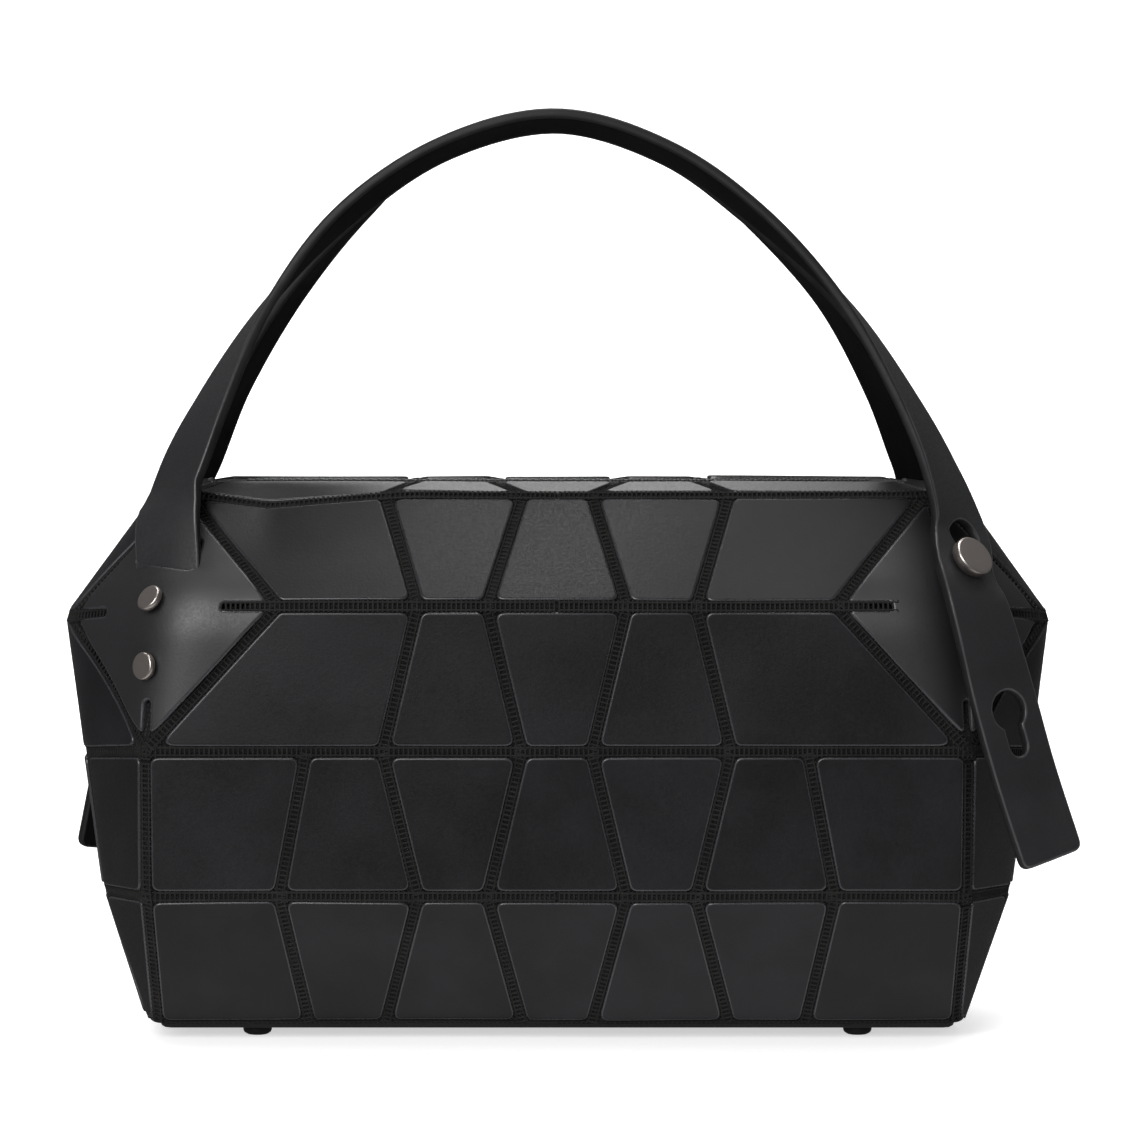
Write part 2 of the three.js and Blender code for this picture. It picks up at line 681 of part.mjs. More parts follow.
// One handle with the patch it passes through, and the space that it needs in patch and wall.
function handleSet(depthName) {
  const run = handleRun(depthName);
  const slot = strapSolid(run, 0, (ANCHOR_PLACES.length + 0.2) / run.last, 9, SLOT_CLEARANCE);
  const studT = (ANCHOR_PLACES.length + ARCHES[depthName].length + 1) / run.last;
  const lengths = run.line.getLengths(400);
  const lowerHole = lengths[Math.round(studT * 400)] + KEYHOLE_PITCH;
  const lowerT = lengths.findIndex((value) => value >= lowerHole) / 400;
  let handle = strapSolid(run, 0, 1, STRAP_STEPS, 0);
  for (const t of [studT, lowerT]) handle = handle.subtract(keyholeCutter(run.frame(t)));
  let patch = patchSolid(FRONT_LEFT).subtract(slot);
  for (const bore of rivetBores) {
    handle = handle.subtract(bore);
    patch = patch.subtract(bore);
  }
  return { handle, patch, slot };
}

const sets = { front: handleSet("front"), back: handleSet("back") };
const studPatch = patchSolid(FRONT_RIGHT).subtract(studBore);

let body = meshWall();
for (const piece of platesOfBody()) body = body.add(piece);
body = body.subtract(sets.front.slot).subtract(turnedRound(sets.back.slot));
for (const bore of [studBore, ...rivetBores]) {
  body = body.subtract(bore).subtract(turnedRound(bore));
}

addPiece("body_shell", geometryOf(body), PLATE_PAINT);
addPiece("zip_closure", zipClosure(), ZIP_PAINT);
addPiece("base_panel", basePanel(), PATCH_PAINT);
for (const [sideX, sideName] of [[-1, "left"], [1, "right"]]) {
  for (const [sideY, depthName] of [[-1, "front"], [1, "back"]]) {
    addPiece(`foot_${depthName}_${sideName}`, footGeometry(sideX * FOOT_X, sideY * FOOT_Y), RUBBER_PAINT);
  }
}

// The back of the bag is the front turned half a turn; its handle leans a little more inwards
// and its tail hangs lower.
for (const [depthName, angle] of [["front", 0], ["back", Math.PI]]) {
  const half = new THREE.Group();
  half.rotation.z = angle;
  bag.add(half);
  addPiece(`handle_${depthName}`, geometryOf(sets[depthName].handle), LEATHER_PAINT, half);
  addPiece(`patch_fixed_${depthName}`, geometryOf(sets[depthName].patch), PATCH_PAINT, half);
  addPiece(`patch_stud_${depthName}`, geometryOf(studPatch), PATCH_PAINT, half);
  addPiece(`stud_${depthName}`, geometryOf(studSolid(FRONT_RIGHT)), METAL_PAINT, half);
  for (const place of RIVET_PLACES) {
    const rivet = geometryOf(rivetSolid(place, FRONT_LEFT));
    addPiece(`rivet_${place.name}_${depthName}`, rivet, METAL_PAINT, half);
  }
}

export default bag;
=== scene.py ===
"""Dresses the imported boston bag: bonded plates on mesh, corner patches, handles, fittings and zip."""

import logging
import math
from dataclasses import dataclass, field, fields
from enum import Enum
from typing import Any, Callable, Optional, Sequence

import bpy
import numpy as np
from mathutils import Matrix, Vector
from mathutils.geometry import delaunay_2d_cdt


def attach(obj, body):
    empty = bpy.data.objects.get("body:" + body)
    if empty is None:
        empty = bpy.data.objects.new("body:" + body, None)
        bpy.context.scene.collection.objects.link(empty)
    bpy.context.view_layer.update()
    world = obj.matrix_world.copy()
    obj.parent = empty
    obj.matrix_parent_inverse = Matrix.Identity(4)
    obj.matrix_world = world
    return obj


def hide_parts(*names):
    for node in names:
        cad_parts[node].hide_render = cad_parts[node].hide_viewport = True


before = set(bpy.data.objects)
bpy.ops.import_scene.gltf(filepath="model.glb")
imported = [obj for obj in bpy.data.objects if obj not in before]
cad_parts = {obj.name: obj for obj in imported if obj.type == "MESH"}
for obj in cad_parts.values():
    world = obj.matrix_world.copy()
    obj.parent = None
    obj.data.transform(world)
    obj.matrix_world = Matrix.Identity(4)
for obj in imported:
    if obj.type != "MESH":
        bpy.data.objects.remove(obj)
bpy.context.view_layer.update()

LOG = logging.getLogger("boston_bag")
MM = 0.001
ROOT = "root"

# Smallest length that anything is divided by
TINY = 1e-12
# Least distance between two stations of a curve
LEAST_STEP = 1e-4
# Angle between two faces from which their edge is drawn sharp
SHARP_DEGREES = 50.0

Place = Callable[[np.ndarray], tuple[np.ndarray, np.ndarray]]
Groove = tuple[np.ndarray, np.ndarray, np.ndarray]


# Small helpers

def linear(code: str) -> tuple[float, float, float, float]:
    """Turns an sRGB hex colour into linear values.

    Args:
        code: Colour such as "#2a2a2c".

    Returns:
        Linear red, green, blue and an alpha of one.
    """
    shades = [int(code[i:i + 2], 16) / 255 for i in (1, 3, 5)]
    return (*[s / 12.92 if s <= 0.04045 else ((s + 0.055) / 1.055) ** 2.4 for s in shades], 1.0)


def add_node(
    tree: bpy.types.NodeTree,
    kind: str,
    settings: Optional[dict[str, Any]] = None,
    inputs: Optional[dict[Any, Any]] = None,
) -> bpy.types.Node:
    """Adds one node, sets it up and links it.

    Args:
        tree: Node tree that gets the node.
        kind: Blender's name for the node type.
        settings: Values of the node's own properties.
        inputs: Value, or output socket to link, for each input by name or number.

    Returns:
        The new node.
    """
    node = tree.nodes.new(kind)
    for name, value in (settings or {}).items():
        setattr(node, name, value)
    for key, value in (inputs or {}).items():
        if isinstance(value, bpy.types.NodeSocket):
            tree.links.new(value, node.inputs[key])
        else:
            node.inputs[key].default_value = value
    return node


def unit(vectors: np.ndarray) -> np.ndarray:
    """Scales each vector of an array to length one."""
    return vectors / np.linalg.norm(vectors, axis=-1, keepdims=True)


def half_turn(points: np.ndarray) -> np.ndarray:
    """Turns points half a turn about the bag's upright axis."""
    return points * np.array([-1.0, -1.0, 1.0])


# Flat outlines

# Least share that a corner's move is divided by, so that a spike can't shoot away
SPIKE_LIMIT = 0.12
# Share of the shorter side beside a corner that its rounding may take
CORNER_SHARE = 0.48
# Distance between the rows of a staggered grid, as a share of its spacing
ROW_PITCH = 0.87
# Least distance of a grid's points from the edge, as a share of its spacing
EDGE_CLEARANCE = 0.55
# Points closer than this are one point to the triangulation
MERGED_WITHIN = 1e-6

def inset(loop: np.ndarray, by: float) -> np.ndarray:
    """Moves a closed loop to its left, which is inwards for one that runs anticlockwise.

    Args:
        loop: Corners of the loop.
        by: Distance in millimetres.

    Returns:
        The moved loop, with as many corners.
    """
    ahead = unit(np.roll(loop, -1, axis=0) - loop)
    behind = np.roll(ahead, 1, axis=0)
    left = np.stack([-ahead[:, 1], ahead[:, 0]], axis=1)
    left_behind = np.stack([-behind[:, 1], behind[:, 0]], axis=1)
    share = 1 + (left * left_behind).sum(axis=1, keepdims=True)
    return loop + by * (left + left_behind) / np.maximum(share, SPIKE_LIMIT)


def round_off(loop: np.ndarray, radius: float, steps: int = 5, least: float = 0.3) -> np.ndarray:
    """Rounds the corners of a closed loop.

    Args:
        loop: Corners of the loop.
        radius: Corner radius in millimetres.
        steps: Facets of a rounded corner.
        least: Smallest turn, in radians, that counts as a corner.

    Returns:
        The loop with an arc in place of each corner.
    """
    made: list[np.ndarray] = []
    for index, corner in enumerate(loop):
        before = loop[index - 1] - corner
        after = loop[(index + 1) % len(loop)] - corner
        lengths = np.linalg.norm(before), np.linalg.norm(after)
        before, after = before / lengths[0], after / lengths[1]
        between = math.acos(float(np.clip(before @ after, -1, 1)))
        if math.pi - between < least:
            made.append(corner)
            continue
        reach = min(radius / math.tan(between / 2), CORNER_SHARE * min(lengths))
        for t in np.linspace(0, 1, steps + 1):
            made.append(corner + before * reach * (1 - t) ** 2 + after * reach * t ** 2)
    return np.array(made)


def with_steps(loop: np.ndarray, longest: float) -> np.ndarray:
    """Adds points to a closed loop so that no step is longer than a limit.

    Args:
        loop: Corners of the loop.
        longest: Longest step in millimetres.

    Returns:
        The loop with its added points.
    """
    made: list[np.ndarray] = []
    for point, following in zip(loop, np.roll(loop, -1, axis=0)):
        count = max(1, math.ceil(np.linalg.norm(following - point) / longest))
        made.extend(point + (following - point) * i / count for i in range(count))
    return np.array(made)


def inside(points: np.ndarray, loops: Sequence[np.ndarray]) -> np.ndarray:
    """Tells which points lie inside an outline and outside its holes.

    Args:
        points: Flat points to test.
        loops: Outline and holes.

    Returns:
        One truth value for each point.
    """
    hits = np.zeros(len(points), dtype=int)
    for loop in loops:
        after = np.roll(loop, -1, axis=0)
        spans = (loop[None, :, 1] > points[:, None, 1]) != (after[None, :, 1] > points[:, None, 1])
        rise = after[:, 1] - loop[:, 1]
        slope = (after[:, 0] - loop[:, 0]) / np.where(np.abs(rise) < TINY, TINY, rise)
        cross = loop[None, :, 0] + slope[None, :] * (points[:, None, 1] - loop[None, :, 1])
        hits += (spans & (points[:, None, 0] < cross)).sum(axis=1)
    return hits % 2 == 1


def inner_grid(loops: Sequence[np.ndarray], spacing: float) -> np.ndarray:
    """Lays a staggered grid of points inside an outline, clear of its edges.

    Args:
        loops: Outline and holes.
        spacing: Distance between points in millimetres.

    Returns:
        The grid's points.
    """
    low, high = loops[0].min(axis=0), loops[0].max(axis=0)
    rows = np.arange(low[1] + spacing / 2, high[1], spacing * ROW_PITCH)
    lines: list[np.ndarray] = []
    for number, y in enumerate(rows):
        shift = 0.75 if number % 2 else 0.25
        xs = np.arange(low[0] + spacing * shift, high[0], spacing)
        lines.append(np.stack([xs, np.full(len(xs), y)], axis=1))
    grid = np.concatenate(lines) if lines else np.zeros((0, 2))
    grid = grid[inside(grid, loops)]
    edge = np.concatenate([with_steps(loop, spacing / 2) for loop in loops])
    gaps = np.array([np.min(np.linalg.norm(edge - point, axis=1)) for point in grid])
    return grid[gaps > EDGE_CLEARANCE * spacing] if len(grid) else grid


def fill(loops: Sequence[np.ndarray], grid: np.ndarray) -> list[tuple[int, int, int]]:
    """Triangulates the area of an outline with holes.

    Args:
        loops: Outline and holes, whose points are numbered in order.
        grid: Points inside, numbered after those of the loops.

    Returns:
        Triangles as point numbers.
    """
    points = np.concatenate([*loops, grid])
    edges: list[tuple[int, int]] = []
    start = 0
    for loop in loops:
        count = len(loop)
        edges.extend((start + i, start + (i + 1) % count) for i in range(count))
        start += count
    found = delaunay_2d_cdt([Vector(p) for p in points], edges, [], 0, MERGED_WITHIN)
    origin = [
        ids[0] if ids else int(np.argmin(np.linalg.norm(points - np.array(spot), axis=1)))
        for spot, ids in zip(found[0], found[3])
    ]
    triangles = [tuple(origin[i] for i in face) for face in found[2]]
    middles = inside(np.array([points[list(triangle)].mean(axis=0) for triangle in triangles]), loops)
    # A triangle on a loop lies inside where it runs the loop's way, and outside where it runs against it.
    along = set(edges)
    kept: list[tuple[int, int, int]] = []
    for (a, b, c), middle in zip(triangles, middles):
        sides = {(a, b), (b, c), (c, a)}
        against = {(b, a), (c, b), (a, c)}
        if len({a, b, c}) == 3 and (sides & along or (middle and not against & along)):
            kept.append((a, b, c))
    return kept


# Meshes

# Width of the band between a panel's rounded edge and its face
RIM_WIDTH = 0.35

class Side(Enum):
    """Sides of a panel, which can take different finishes."""

    FACE = 0
    EDGE = 1
    BACK = 2
    RIM = 3


@dataclass
class Shape:
    """Points and faces of one closed form, in millimetres."""

    points: np.ndarray
    faces: list[tuple[int, ...]]
    sides: list[Side]
    tone: float = 0.0
    flat: Optional[np.ndarray] = None

    def volume(self) -> float:
        """Measures the form.

        Returns:
            The signed volume, which is negative for a form that is inside out.
        """
        total = 0.0
        for face in self.faces:
            corners = self.points[list(face)]
            for i in range(1, len(face) - 1):
                total += float(corners[0] @ np.cross(corners[i], corners[i + 1]))
        return total / 6

    def outward(self) -> "Shape":
        """Turns all faces round where the form is inside out.

        Returns:
            The form itself.
        """
        if self.volume() < 0:
            self.faces = [tuple(reversed(face)) for face in self.faces]
        return self


@dataclass
class Outline:
    """A closed flat outline, given by its sharp corners and the radius that they are rounded to."""

    corners: np.ndarray
    radius: float = 0.0
    steps: int = 5
    least: float = 0.3
    smallest: float = 0.12
    straight: float = 1e-4
    bulge: float = 0.004
    most_bulge: float = 0.2

    def __post_init__(self) -> None:
        """Leaves out points on a straight run."""
        ahead = unit(np.roll(self.corners, -1, axis=0) - self.corners)
        behind = np.roll(ahead, 1, axis=0)
        turns = behind[:, 0] * ahead[:, 1] - behind[:, 1] * ahead[:, 0]
        self.corners = self.corners[np.abs(turns) > self.straight]

    def rounded(self, by: float) -> np.ndarray:
        """Gives the outline moved to its left, with rounded corners.

        Args:
            by: Distance in millimetres.

        Returns:
            The moved loop.
        """
        moved = inset(self.corners, by)
        if not self.radius:
            return moved
        x, y = self.corners.T
        anticlockwise = float(x @ np.roll(y, -1) - y @ np.roll(x, -1)) > 0
        radius = self.radius - by if anticlockwise else self.radius + by
        return round_off(moved, max(radius, self.smallest), self.steps, self.least)

    def ring(self, by: float, spacing: float) -> np.ndarray:
        """Gives the moved outline with as many points as the outline itself needs.

        Its straight runs bulge by a hair, so that no three of their points are in line.

        Args:
            by: Distance in millimetres.
            spacing: Longest step of the outline itself.

        Returns:
            The ring's points.
        """
        edge, moved = self.rounded(0.0), self.rounded(by)
        lengths = np.linalg.norm(np.roll(edge, -1, axis=0) - edge, axis=1)
        counts = np.maximum(1, np.ceil(lengths / spacing)).astype(int)
        made: list[np.ndarray] = []
        for point, following, count in zip(moved, np.roll(moved, -1, axis=0), counts):
            run = following - point
            length = max(float(np.linalg.norm(run)), TINY)
            outwards = np.array([run[1], -run[0]]) * min(self.bulge, self.most_bulge / length)
            for share in np.arange(count) / count:
                made.append(point + run * share + outwards * share * (1 - share))
        return np.array(made)


def panel(
    outlines: Sequence[Outline],
    place: Place,
    low: float,
    high: float,
    edge: float,
    spacing: float,
    both: bool = False,
    lift: Optional[Callable[[np.ndarray], np.ndarray]] = None,
) -> Shape:
    """Makes a sheet with rounded edges that follows a curved surface.

    Args:
        outlines: Outline, anticlockwise, and holes, clockwise.
        place: Gives the surface's points and normals at flat points.
        low: Height of the back over the surface.
        high: Height of the face over the surface.
        edge: Radius of the rounded edge.
        spacing: Distance between the points of the sheet.
        both: Whether the back has rounded edges too.
        lift: Extra height at flat points.

    Returns:
        The closed sheet.
    """
    turn = 1 - math.sqrt(0.5)
    steps = [(0.0, edge), (turn * edge, turn * edge), (edge, 0.0), (edge + RIM_WIDTH, 0.0)]
    face_rings = [([one.ring(by, spacing) for one in outlines], high - drop) for by, drop in steps]
    back_steps = steps if both else [(0.0, 0.0), (edge + RIM_WIDTH, 0.0)]
    back_rings = [([one.ring(by, spacing) for one in outlines], low + drop) for by, drop in back_steps]
    grid = inner_grid(face_rings[-1][0], spacing)
    flats: list[np.ndarray] = []
    heights: list[np.ndarray] = []
    faces: list[tuple[int, ...]] = []
    sides: list[Side] = []
    starts: list[int] = []
    total = 0
    for ring, height in [*reversed(face_rings), *back_rings]:
        flat = np.concatenate(ring)
        starts.append(total)
        flats.append(flat)
        heights.append(np.full(len(flat), height))
        total += len(flat)
    for height in (high, low):
        flats.append(grid)
        heights.append(np.full(len(grid), height))
    count = len(flats[0])
    bands = [Side.FACE, Side.RIM, *[Side.EDGE] * (len(starts) - 4), Side.BACK]
    for number, (near, far) in enumerate(zip(starts, starts[1:])):
        offset = 0
        for loop in face_rings[0][0]:
            size = len(loop)
            for i in range(size):
                j = (i + 1) % size
                faces.append((near + offset + i, far + offset + i, far + offset + j, near + offset + j))
                sides.append(bands[number])
            offset += size
    for ring, start, first, side in (
        (face_rings[-1][0], 0, total, Side.FACE),
        (back_rings[-1][0], starts[-1], total + len(grid), Side.BACK),
    ):
        for triangle in fill(ring, grid):
            numbers = tuple(start + i if i < count else first + i - count for i in triangle)
            faces.append(numbers if side is Side.FACE else tuple(reversed(numbers)))
            sides.append(side)
    flat = np.concatenate(flats)
    height = np.concatenate(heights)
    if lift is not None:
        height = height + lift(flat)
    points, normals = place(flat)
    return Shape(points + normals * height[:, None], faces, sides, flat=flat).outward()


def level_place(height: float, facing: float) -> Place:
    """Makes the place function of a level sheet.

    Args:
        height: Height of the sheet in millimetres.
        facing: 1 for a sheet that faces up, -1 for one that faces down.

    Returns:
        The function, which gives points and normals at flat points.
    """

    def place(flat: np.ndarray) -> tuple[np.ndarray, np.ndarray]:
        """Places flat points at the sheet's height."""
        points = np.concatenate([flat, np.full((len(flat), 1), height)], axis=1)
        return points, np.tile([0.0, 0.0, facing], (len(flat), 1))

    return place

def ring_faces(size: int, rings: int) -> list[tuple[int, ...]]:
    """Joins rings of points by faces, each ring with the next.

    Args:
        size: Points of a ring.
        rings: Number of rings, whose points are numbered in order.

    Returns:
        The faces.
    """
    faces: list[tuple[int, ...]] = []
    for at in range(0, (rings - 1) * size, size):
        for i in range(size):
            j = (i + 1) % size
            faces.append((at + i, at + j, at + size + j, at + size + i))
    return faces

def capped_faces(size: int, rings: int) -> list[tuple[int, ...]]:
    """Joins rings of points by faces and closes the first and the last ring.

    Args:
        size: Points of a ring.
        rings: Number of rings, whose points are numbered in order.

    Returns:
        The faces.
    """
    caps = [tuple(reversed(range(size))), tuple(range((rings - 1) * size, rings * size))]
    return [*ring_faces(size, rings), *caps]

def turned(profile: Sequence[tuple[float, float]], sides: int) -> Shape:
    """Turns a profile about the upright axis.

    Args:
        profile: Radius and height of each corner, from the axis back to the axis.
        sides: Facets round the axis.

    Returns:
        The closed turned form.
    """
    angles = np.linspace(0, 2 * math.pi, sides, endpoint=False)
    circle = np.stack([np.cos(angles), np.sin(angles), np.zeros(sides)], axis=1)
    rings = [circle * radius + [0, 0, height] for radius, height in profile[1:-1]]
    ends = np.array([[0, 0, profile[0][1]], [0, 0, profile[-1][1]]])
    points = np.concatenate([*rings, ends])
    faces = ring_faces(sides, len(rings))
    first, last = len(points) - 2, len(points) - 1
    top = (len(rings) - 1) * sides
    for i in range(sides):
        j = (i + 1) % sides
        faces.append((first, j, i))
        faces.append((last, top + i, top + j))
    return Shape(points, faces, [Side.FACE] * len(faces)).outward()


def shade_smooth(mesh: bpy.types.Mesh) -> None:
    """Shades a mesh smooth, apart from its sharp edges."""
    mesh.polygons.foreach_set("use_smooth", [True] * len(mesh.polygons))
    mesh.set_sharp_from_angle(angle=math.radians(SHARP_DEGREES))

def mesh_object(
    name: str,
    shapes: Sequence[Shape],
    finishes: Sequence[bpy.types.Material] = (),
) -> bpy.types.Object:
    """Makes one Blender object of several shapes.

    Args:
        name: Name of the piece.
        shapes: Forms in millimetres.
        finishes: Material of each side, or one for all sides.

    Returns:
        The object, at the origin with its place in its mesh.
    """
    points = np.concatenate([shape.points for shape in shapes]) * MM
    faces: list[tuple[int, ...]] = []
    start = 0
    for shape in shapes:
        faces.extend(tuple(i + start for i in face) for face in shape.faces)
        start += len(shape.points)
    mesh = bpy.data.meshes.new(name)
    mesh.from_pydata(points.tolist(), [], faces)
    for finish in finishes:
        mesh.materials.append(finish)
    if len(finishes) > 1:
        marks = [side.value for shape in shapes for side in shape.sides]
        mesh.polygons.foreach_set("material_index", marks)
    tone = mesh.attributes.new("tone", "FLOAT", "POINT")
    tone.data.foreach_set("value", np.concatenate([np.full(len(s.points), s.tone) for s in shapes]))
    if all(shape.flat is not None for shape in shapes):
        layer = mesh.uv_layers.new(name="flat")
        flat = np.concatenate([shape.flat for shape in shapes]) * MM
        corners = np.zeros(len(mesh.loops), dtype=int)
        mesh.loops.foreach_get("vertex_index", corners)
        layer.data.foreach_set("uv", flat[corners].astype(np.float32).ravel())
    shade_smooth(mesh)
    mesh.validate()
    mesh.update()
    piece = bpy.data.objects.new(name, mesh)
    bpy.context.scene.collection.objects.link(piece)
    return piece


def settle(piece: bpy.types.Object, nodes: Sequence[str] = ()) -> None:
    """Ties a finished piece to the part and reports it.

    Args:
        piece: The piece, in place.
        nodes: Nodes that the piece stands for.
    """
    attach(piece, ROOT)
    if nodes:
        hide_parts(*nodes)
    piece.data.calc_loop_triangles()
    LOG.info("%s: %d triangles", piece.name, len(piece.data.loop_triangles))


# Finishes

@dataclass(frozen=True)
class Finish:
    """A surface with a fine relief: its colours vary from patch to patch, and its gloss with the grain."""

    name: str
    colour: str
    light_colour: str
    roughness: float
    grain_mm: float
    relief_mm: float
    mottle_mm: float = 22.0
    gloss_spread: float = 0.08
    specular: float = 0.5
    sheen: float = 0.0
    metallic: float = 0.0
    tone_share: float = 0.0
    glow: float = 0.0

    def build(self) -> bpy.types.Material:
        """Builds the material.

        Returns:
            A procedural material on Object coordinates.
        """
        material = bpy.data.materials.new(self.name)
        material.use_nodes = True
        tree = material.node_tree
        tree.nodes.clear()
        space = add_node(tree, "ShaderNodeTexCoord").outputs["Object"]
        mottle = add_node(
            tree, "ShaderNodeTexNoise", None,
            {"Vector": space, "Scale": 1 / (self.mottle_mm * MM), "Detail": 3.0, "Roughness": 0.55},
        ).outputs["Fac"]
        shade = add_node(
            tree, "ShaderNodeMapRange", None,
            {"Value": mottle, "From Min": 0.3, "From Max": 0.7, "To Min": 0.0, "To Max": 1.0},
        ).outputs["Result"]
        if self.tone_share:
            tone = add_node(tree, "ShaderNodeAttribute", {"attribute_name": "tone"}).outputs["Fac"]
            shade = add_node(
                tree, "ShaderNodeMath", {"operation": "MULTIPLY_ADD", "use_clamp": True},
                {0: tone, 1: self.tone_share, 2: shade},
            ).outputs["Value"]
        colour = add_node(
            tree, "ShaderNodeMix", {"data_type": "RGBA"},
            {0: shade, 6: linear(self.colour), 7: linear(self.light_colour)},
        ).outputs[2]
        grain = self.grain(tree, space)
        gloss = add_node(
            tree, "ShaderNodeMapRange", None,
            {
                "Value": grain, "From Min": 0.2, "From Max": 0.8,
                "To Min": self.roughness - self.gloss_spread, "To Max": self.roughness + self.gloss_spread,
            },
        ).outputs["Result"]
        bump = add_node(
            tree, "ShaderNodeBump", None,
            {"Height": grain, "Strength": 1.0, "Distance": self.relief_mm * MM},
        ).outputs["Normal"]
        surface = add_node(
            tree, "ShaderNodeBsdfPrincipled", None,
            {
                "Base Color": colour, "Roughness": gloss, "Normal": bump, "Metallic": self.metallic,
                "Specular IOR Level": self.specular, "Sheen Weight": self.sheen, "Sheen Roughness": 0.5,
                "Emission Color": linear(self.light_colour), "Emission Strength": self.glow,
            },
        )
        add_node(tree, "ShaderNodeOutputMaterial", None, {"Surface": surface.outputs["BSDF"]})
        return material

    def grain(self, tree: bpy.types.NodeTree, space: bpy.types.NodeSocket) -> bpy.types.NodeSocket:
        """Gives the height of the relief: a fine random grain.

        Args:
            tree: The material's node tree.
            space: Coordinates in metres.

        Returns:
            Socket with heights from zero to one.
        """
        return add_node(
            tree, "ShaderNodeTexNoise", None,
            {"Vector": space, "Scale": 1 / (self.grain_mm * MM), "Detail": 2.0, "Roughness": 0.6},
        ).outputs["Fac"]


@dataclass(frozen=True)
class PebbleFinish(Finish):
    """A finish with the rounded cells of pressed leather grain."""

    def grain(self, tree: bpy.types.NodeTree, space: bpy.types.NodeSocket) -> bpy.types.NodeSocket:
        """Gives the height of the relief: rounded cells.

        Args:
            tree: The material's node tree.
            space: Coordinates in metres.

        Returns:
            Socket with heights from zero to one.
        """
        return add_node(
            tree, "ShaderNodeTexVoronoi", {"feature": "SMOOTH_F1"},
            {"Vector": space, "Scale": 1 / (self.grain_mm * MM), "Smoothness": 0.5},
        ).outputs["Distance"]


# Length of one wave of a wave texture at scale 1
WAVE_LENGTH = 0.314

@dataclass(frozen=True)
class WovenFinish(Finish):
    """A finish with threads that cross at right angles, on the piece's own flat coordinates."""

    def grain(self, tree: bpy.types.NodeTree, space: bpy.types.NodeSocket) -> bpy.types.NodeSocket:
        """Gives the height of the relief: crossing threads.

        Args:
            tree: The material's node tree.
            space: Coordinates in metres, which this finish doesn't use.

        Returns:
            Socket with heights from zero to one.
        """
        flat = add_node(tree, "ShaderNodeUVMap", {"uv_map": "flat"}).outputs["UV"]
        threads = [
            add_node(
                tree, "ShaderNodeTexWave", {"bands_direction": direction},
                {"Vector": flat, "Scale": WAVE_LENGTH / (self.grain_mm * MM), "Distortion": 0.0},
            ).outputs["Fac"]
            for direction in ("X", "Y")
        ]
        return add_node(
            tree, "ShaderNodeMath", {"operation": "MAXIMUM"}, {0: threads[0], 1: threads[1]},
        ).outputs[0]


# Columns of the finishes: name, colour, light_colour, roughness, grain_mm, relief_mm

# Calendered vinyl sheet: satin black with a fine rolled grain that breaks up its highlights.
# The grain is drawn about twice as coarse as the real one so that it shows.
PLATE_VINYL = Finish(
    "calendered_vinyl", "#0c0b0d", "#161417", 0.40, 0.8, 0.03, specular=0.36, tone_share=0.35,
)
# The sheet's edges: shinier, with a paler colour that is a painted highlight, so that each plate is drawn by
# a thin light line.
PAINTED_EDGE_HIGHLIGHT = Finish("vinyl_edge_painted_highlight", "#232225", "#302f32", 0.3, 0.8, 0.01, specular=0.7)
# The same sheet on the corner patches, rolled smoother, with a softer and wider gloss.
PATCH_VINYL = Finish("smooth_vinyl", "#100f11", "#171518", 0.48, 0.7, 0.03, mottle_mm=40, specular=0.85)
# Polyester mesh: dull black threads with dark holes between them.
MESH_CLOTH = WovenFinish("polyester_mesh", "#070707", "#0d0c0c", 0.8, 1.4, 0.35, sheen=0.05, specular=0.25)
# The mesh's own threads where they show in the grooves: a little paler than the cloth.
MESH_THREAD = Finish("polyester_thread", "#0f0e0e", "#191716", 0.7, 0.5, 0.02, mottle_mm=6, specular=0.3)
# Pigmented split leather: an even charcoal face with a barely raised grain.
STRAP_LEATHER = PebbleFinish(
    "pigmented_leather", "#1d1d1f", "#252527", 0.55, 0.8, 0.02, mottle_mm=30, specular=0.4,
)
# Burnished edge paint: darker than the face, with a low even gloss.
EDGE_PAINT = Finish("edge_paint", "#111112", "#19191a", 0.5, 0.7, 0.04, mottle_mm=8, specular=0.3)
# The rim of the face: shinier, with a paler colour that is a painted highlight, a thin light line along both
# sides of a strap.
PAINTED_RIM_HIGHLIGHT = Finish("painted_rim_highlight", "#2e2e30", "#3c3c3e", 0.36, 0.7, 0.01, mottle_mm=8, specular=0.6)
# Suede lining on the inner face: deep black, without gloss.
STRAP_LINING = Finish("suede_lining", "#070707", "#0b0b0b", 0.9, 0.5, 0.03, mottle_mm=12, specular=0.08)
# Black nickel plate on brass: a warm grey mirror dulled by fine polishing marks.
BLACK_NICKEL = Finish("black_nickel", "#c8beb8", "#d0c7c1", 0.34, 0.5, 0.0015, mottle_mm=9, metallic=1.0)
# Moulded rubber: matt black.
FOOT_RUBBER = Finish("moulded_rubber", "#0d0d0d", "#131313", 0.6, 0.5, 0.02, mottle_mm=5, specular=0.4)
# Woven zip tape: dull black with a fine cross weave.
ZIP_TAPE = WovenFinish("zip_tape", "#0c0c0d", "#131314", 0.8, 0.9, 0.12, sheen=0.05, specular=0.3)
# Moulded acetal zip teeth: black with a low gloss.
ZIP_TEETH = Finish("acetal_teeth", "#101011", "#18181a", 0.4, 0.6, 0.01, mottle_mm=5)
# Painted studio floor: almost white, without gloss.
STUDIO_FLOOR = Finish(
    "studio_paint", "#f2f2f2", "#f6f6f6", 0.85, 3.0, 0.02, mottle_mm=300, specular=0.2, glow=0.62,
)


# The body's surface

@dataclass(frozen=True)
class Fold:
    """One fold line of the body, from the front wall round the corner to the end wall."""

    z: float
    half_depth: float
    corner_x: float
    round: float
    end_drop: float
    ridge_x: float
    ridge_y: float
    seam_inner: float
    seam_middle: float
    seam_outer: float
    corner_shift: float


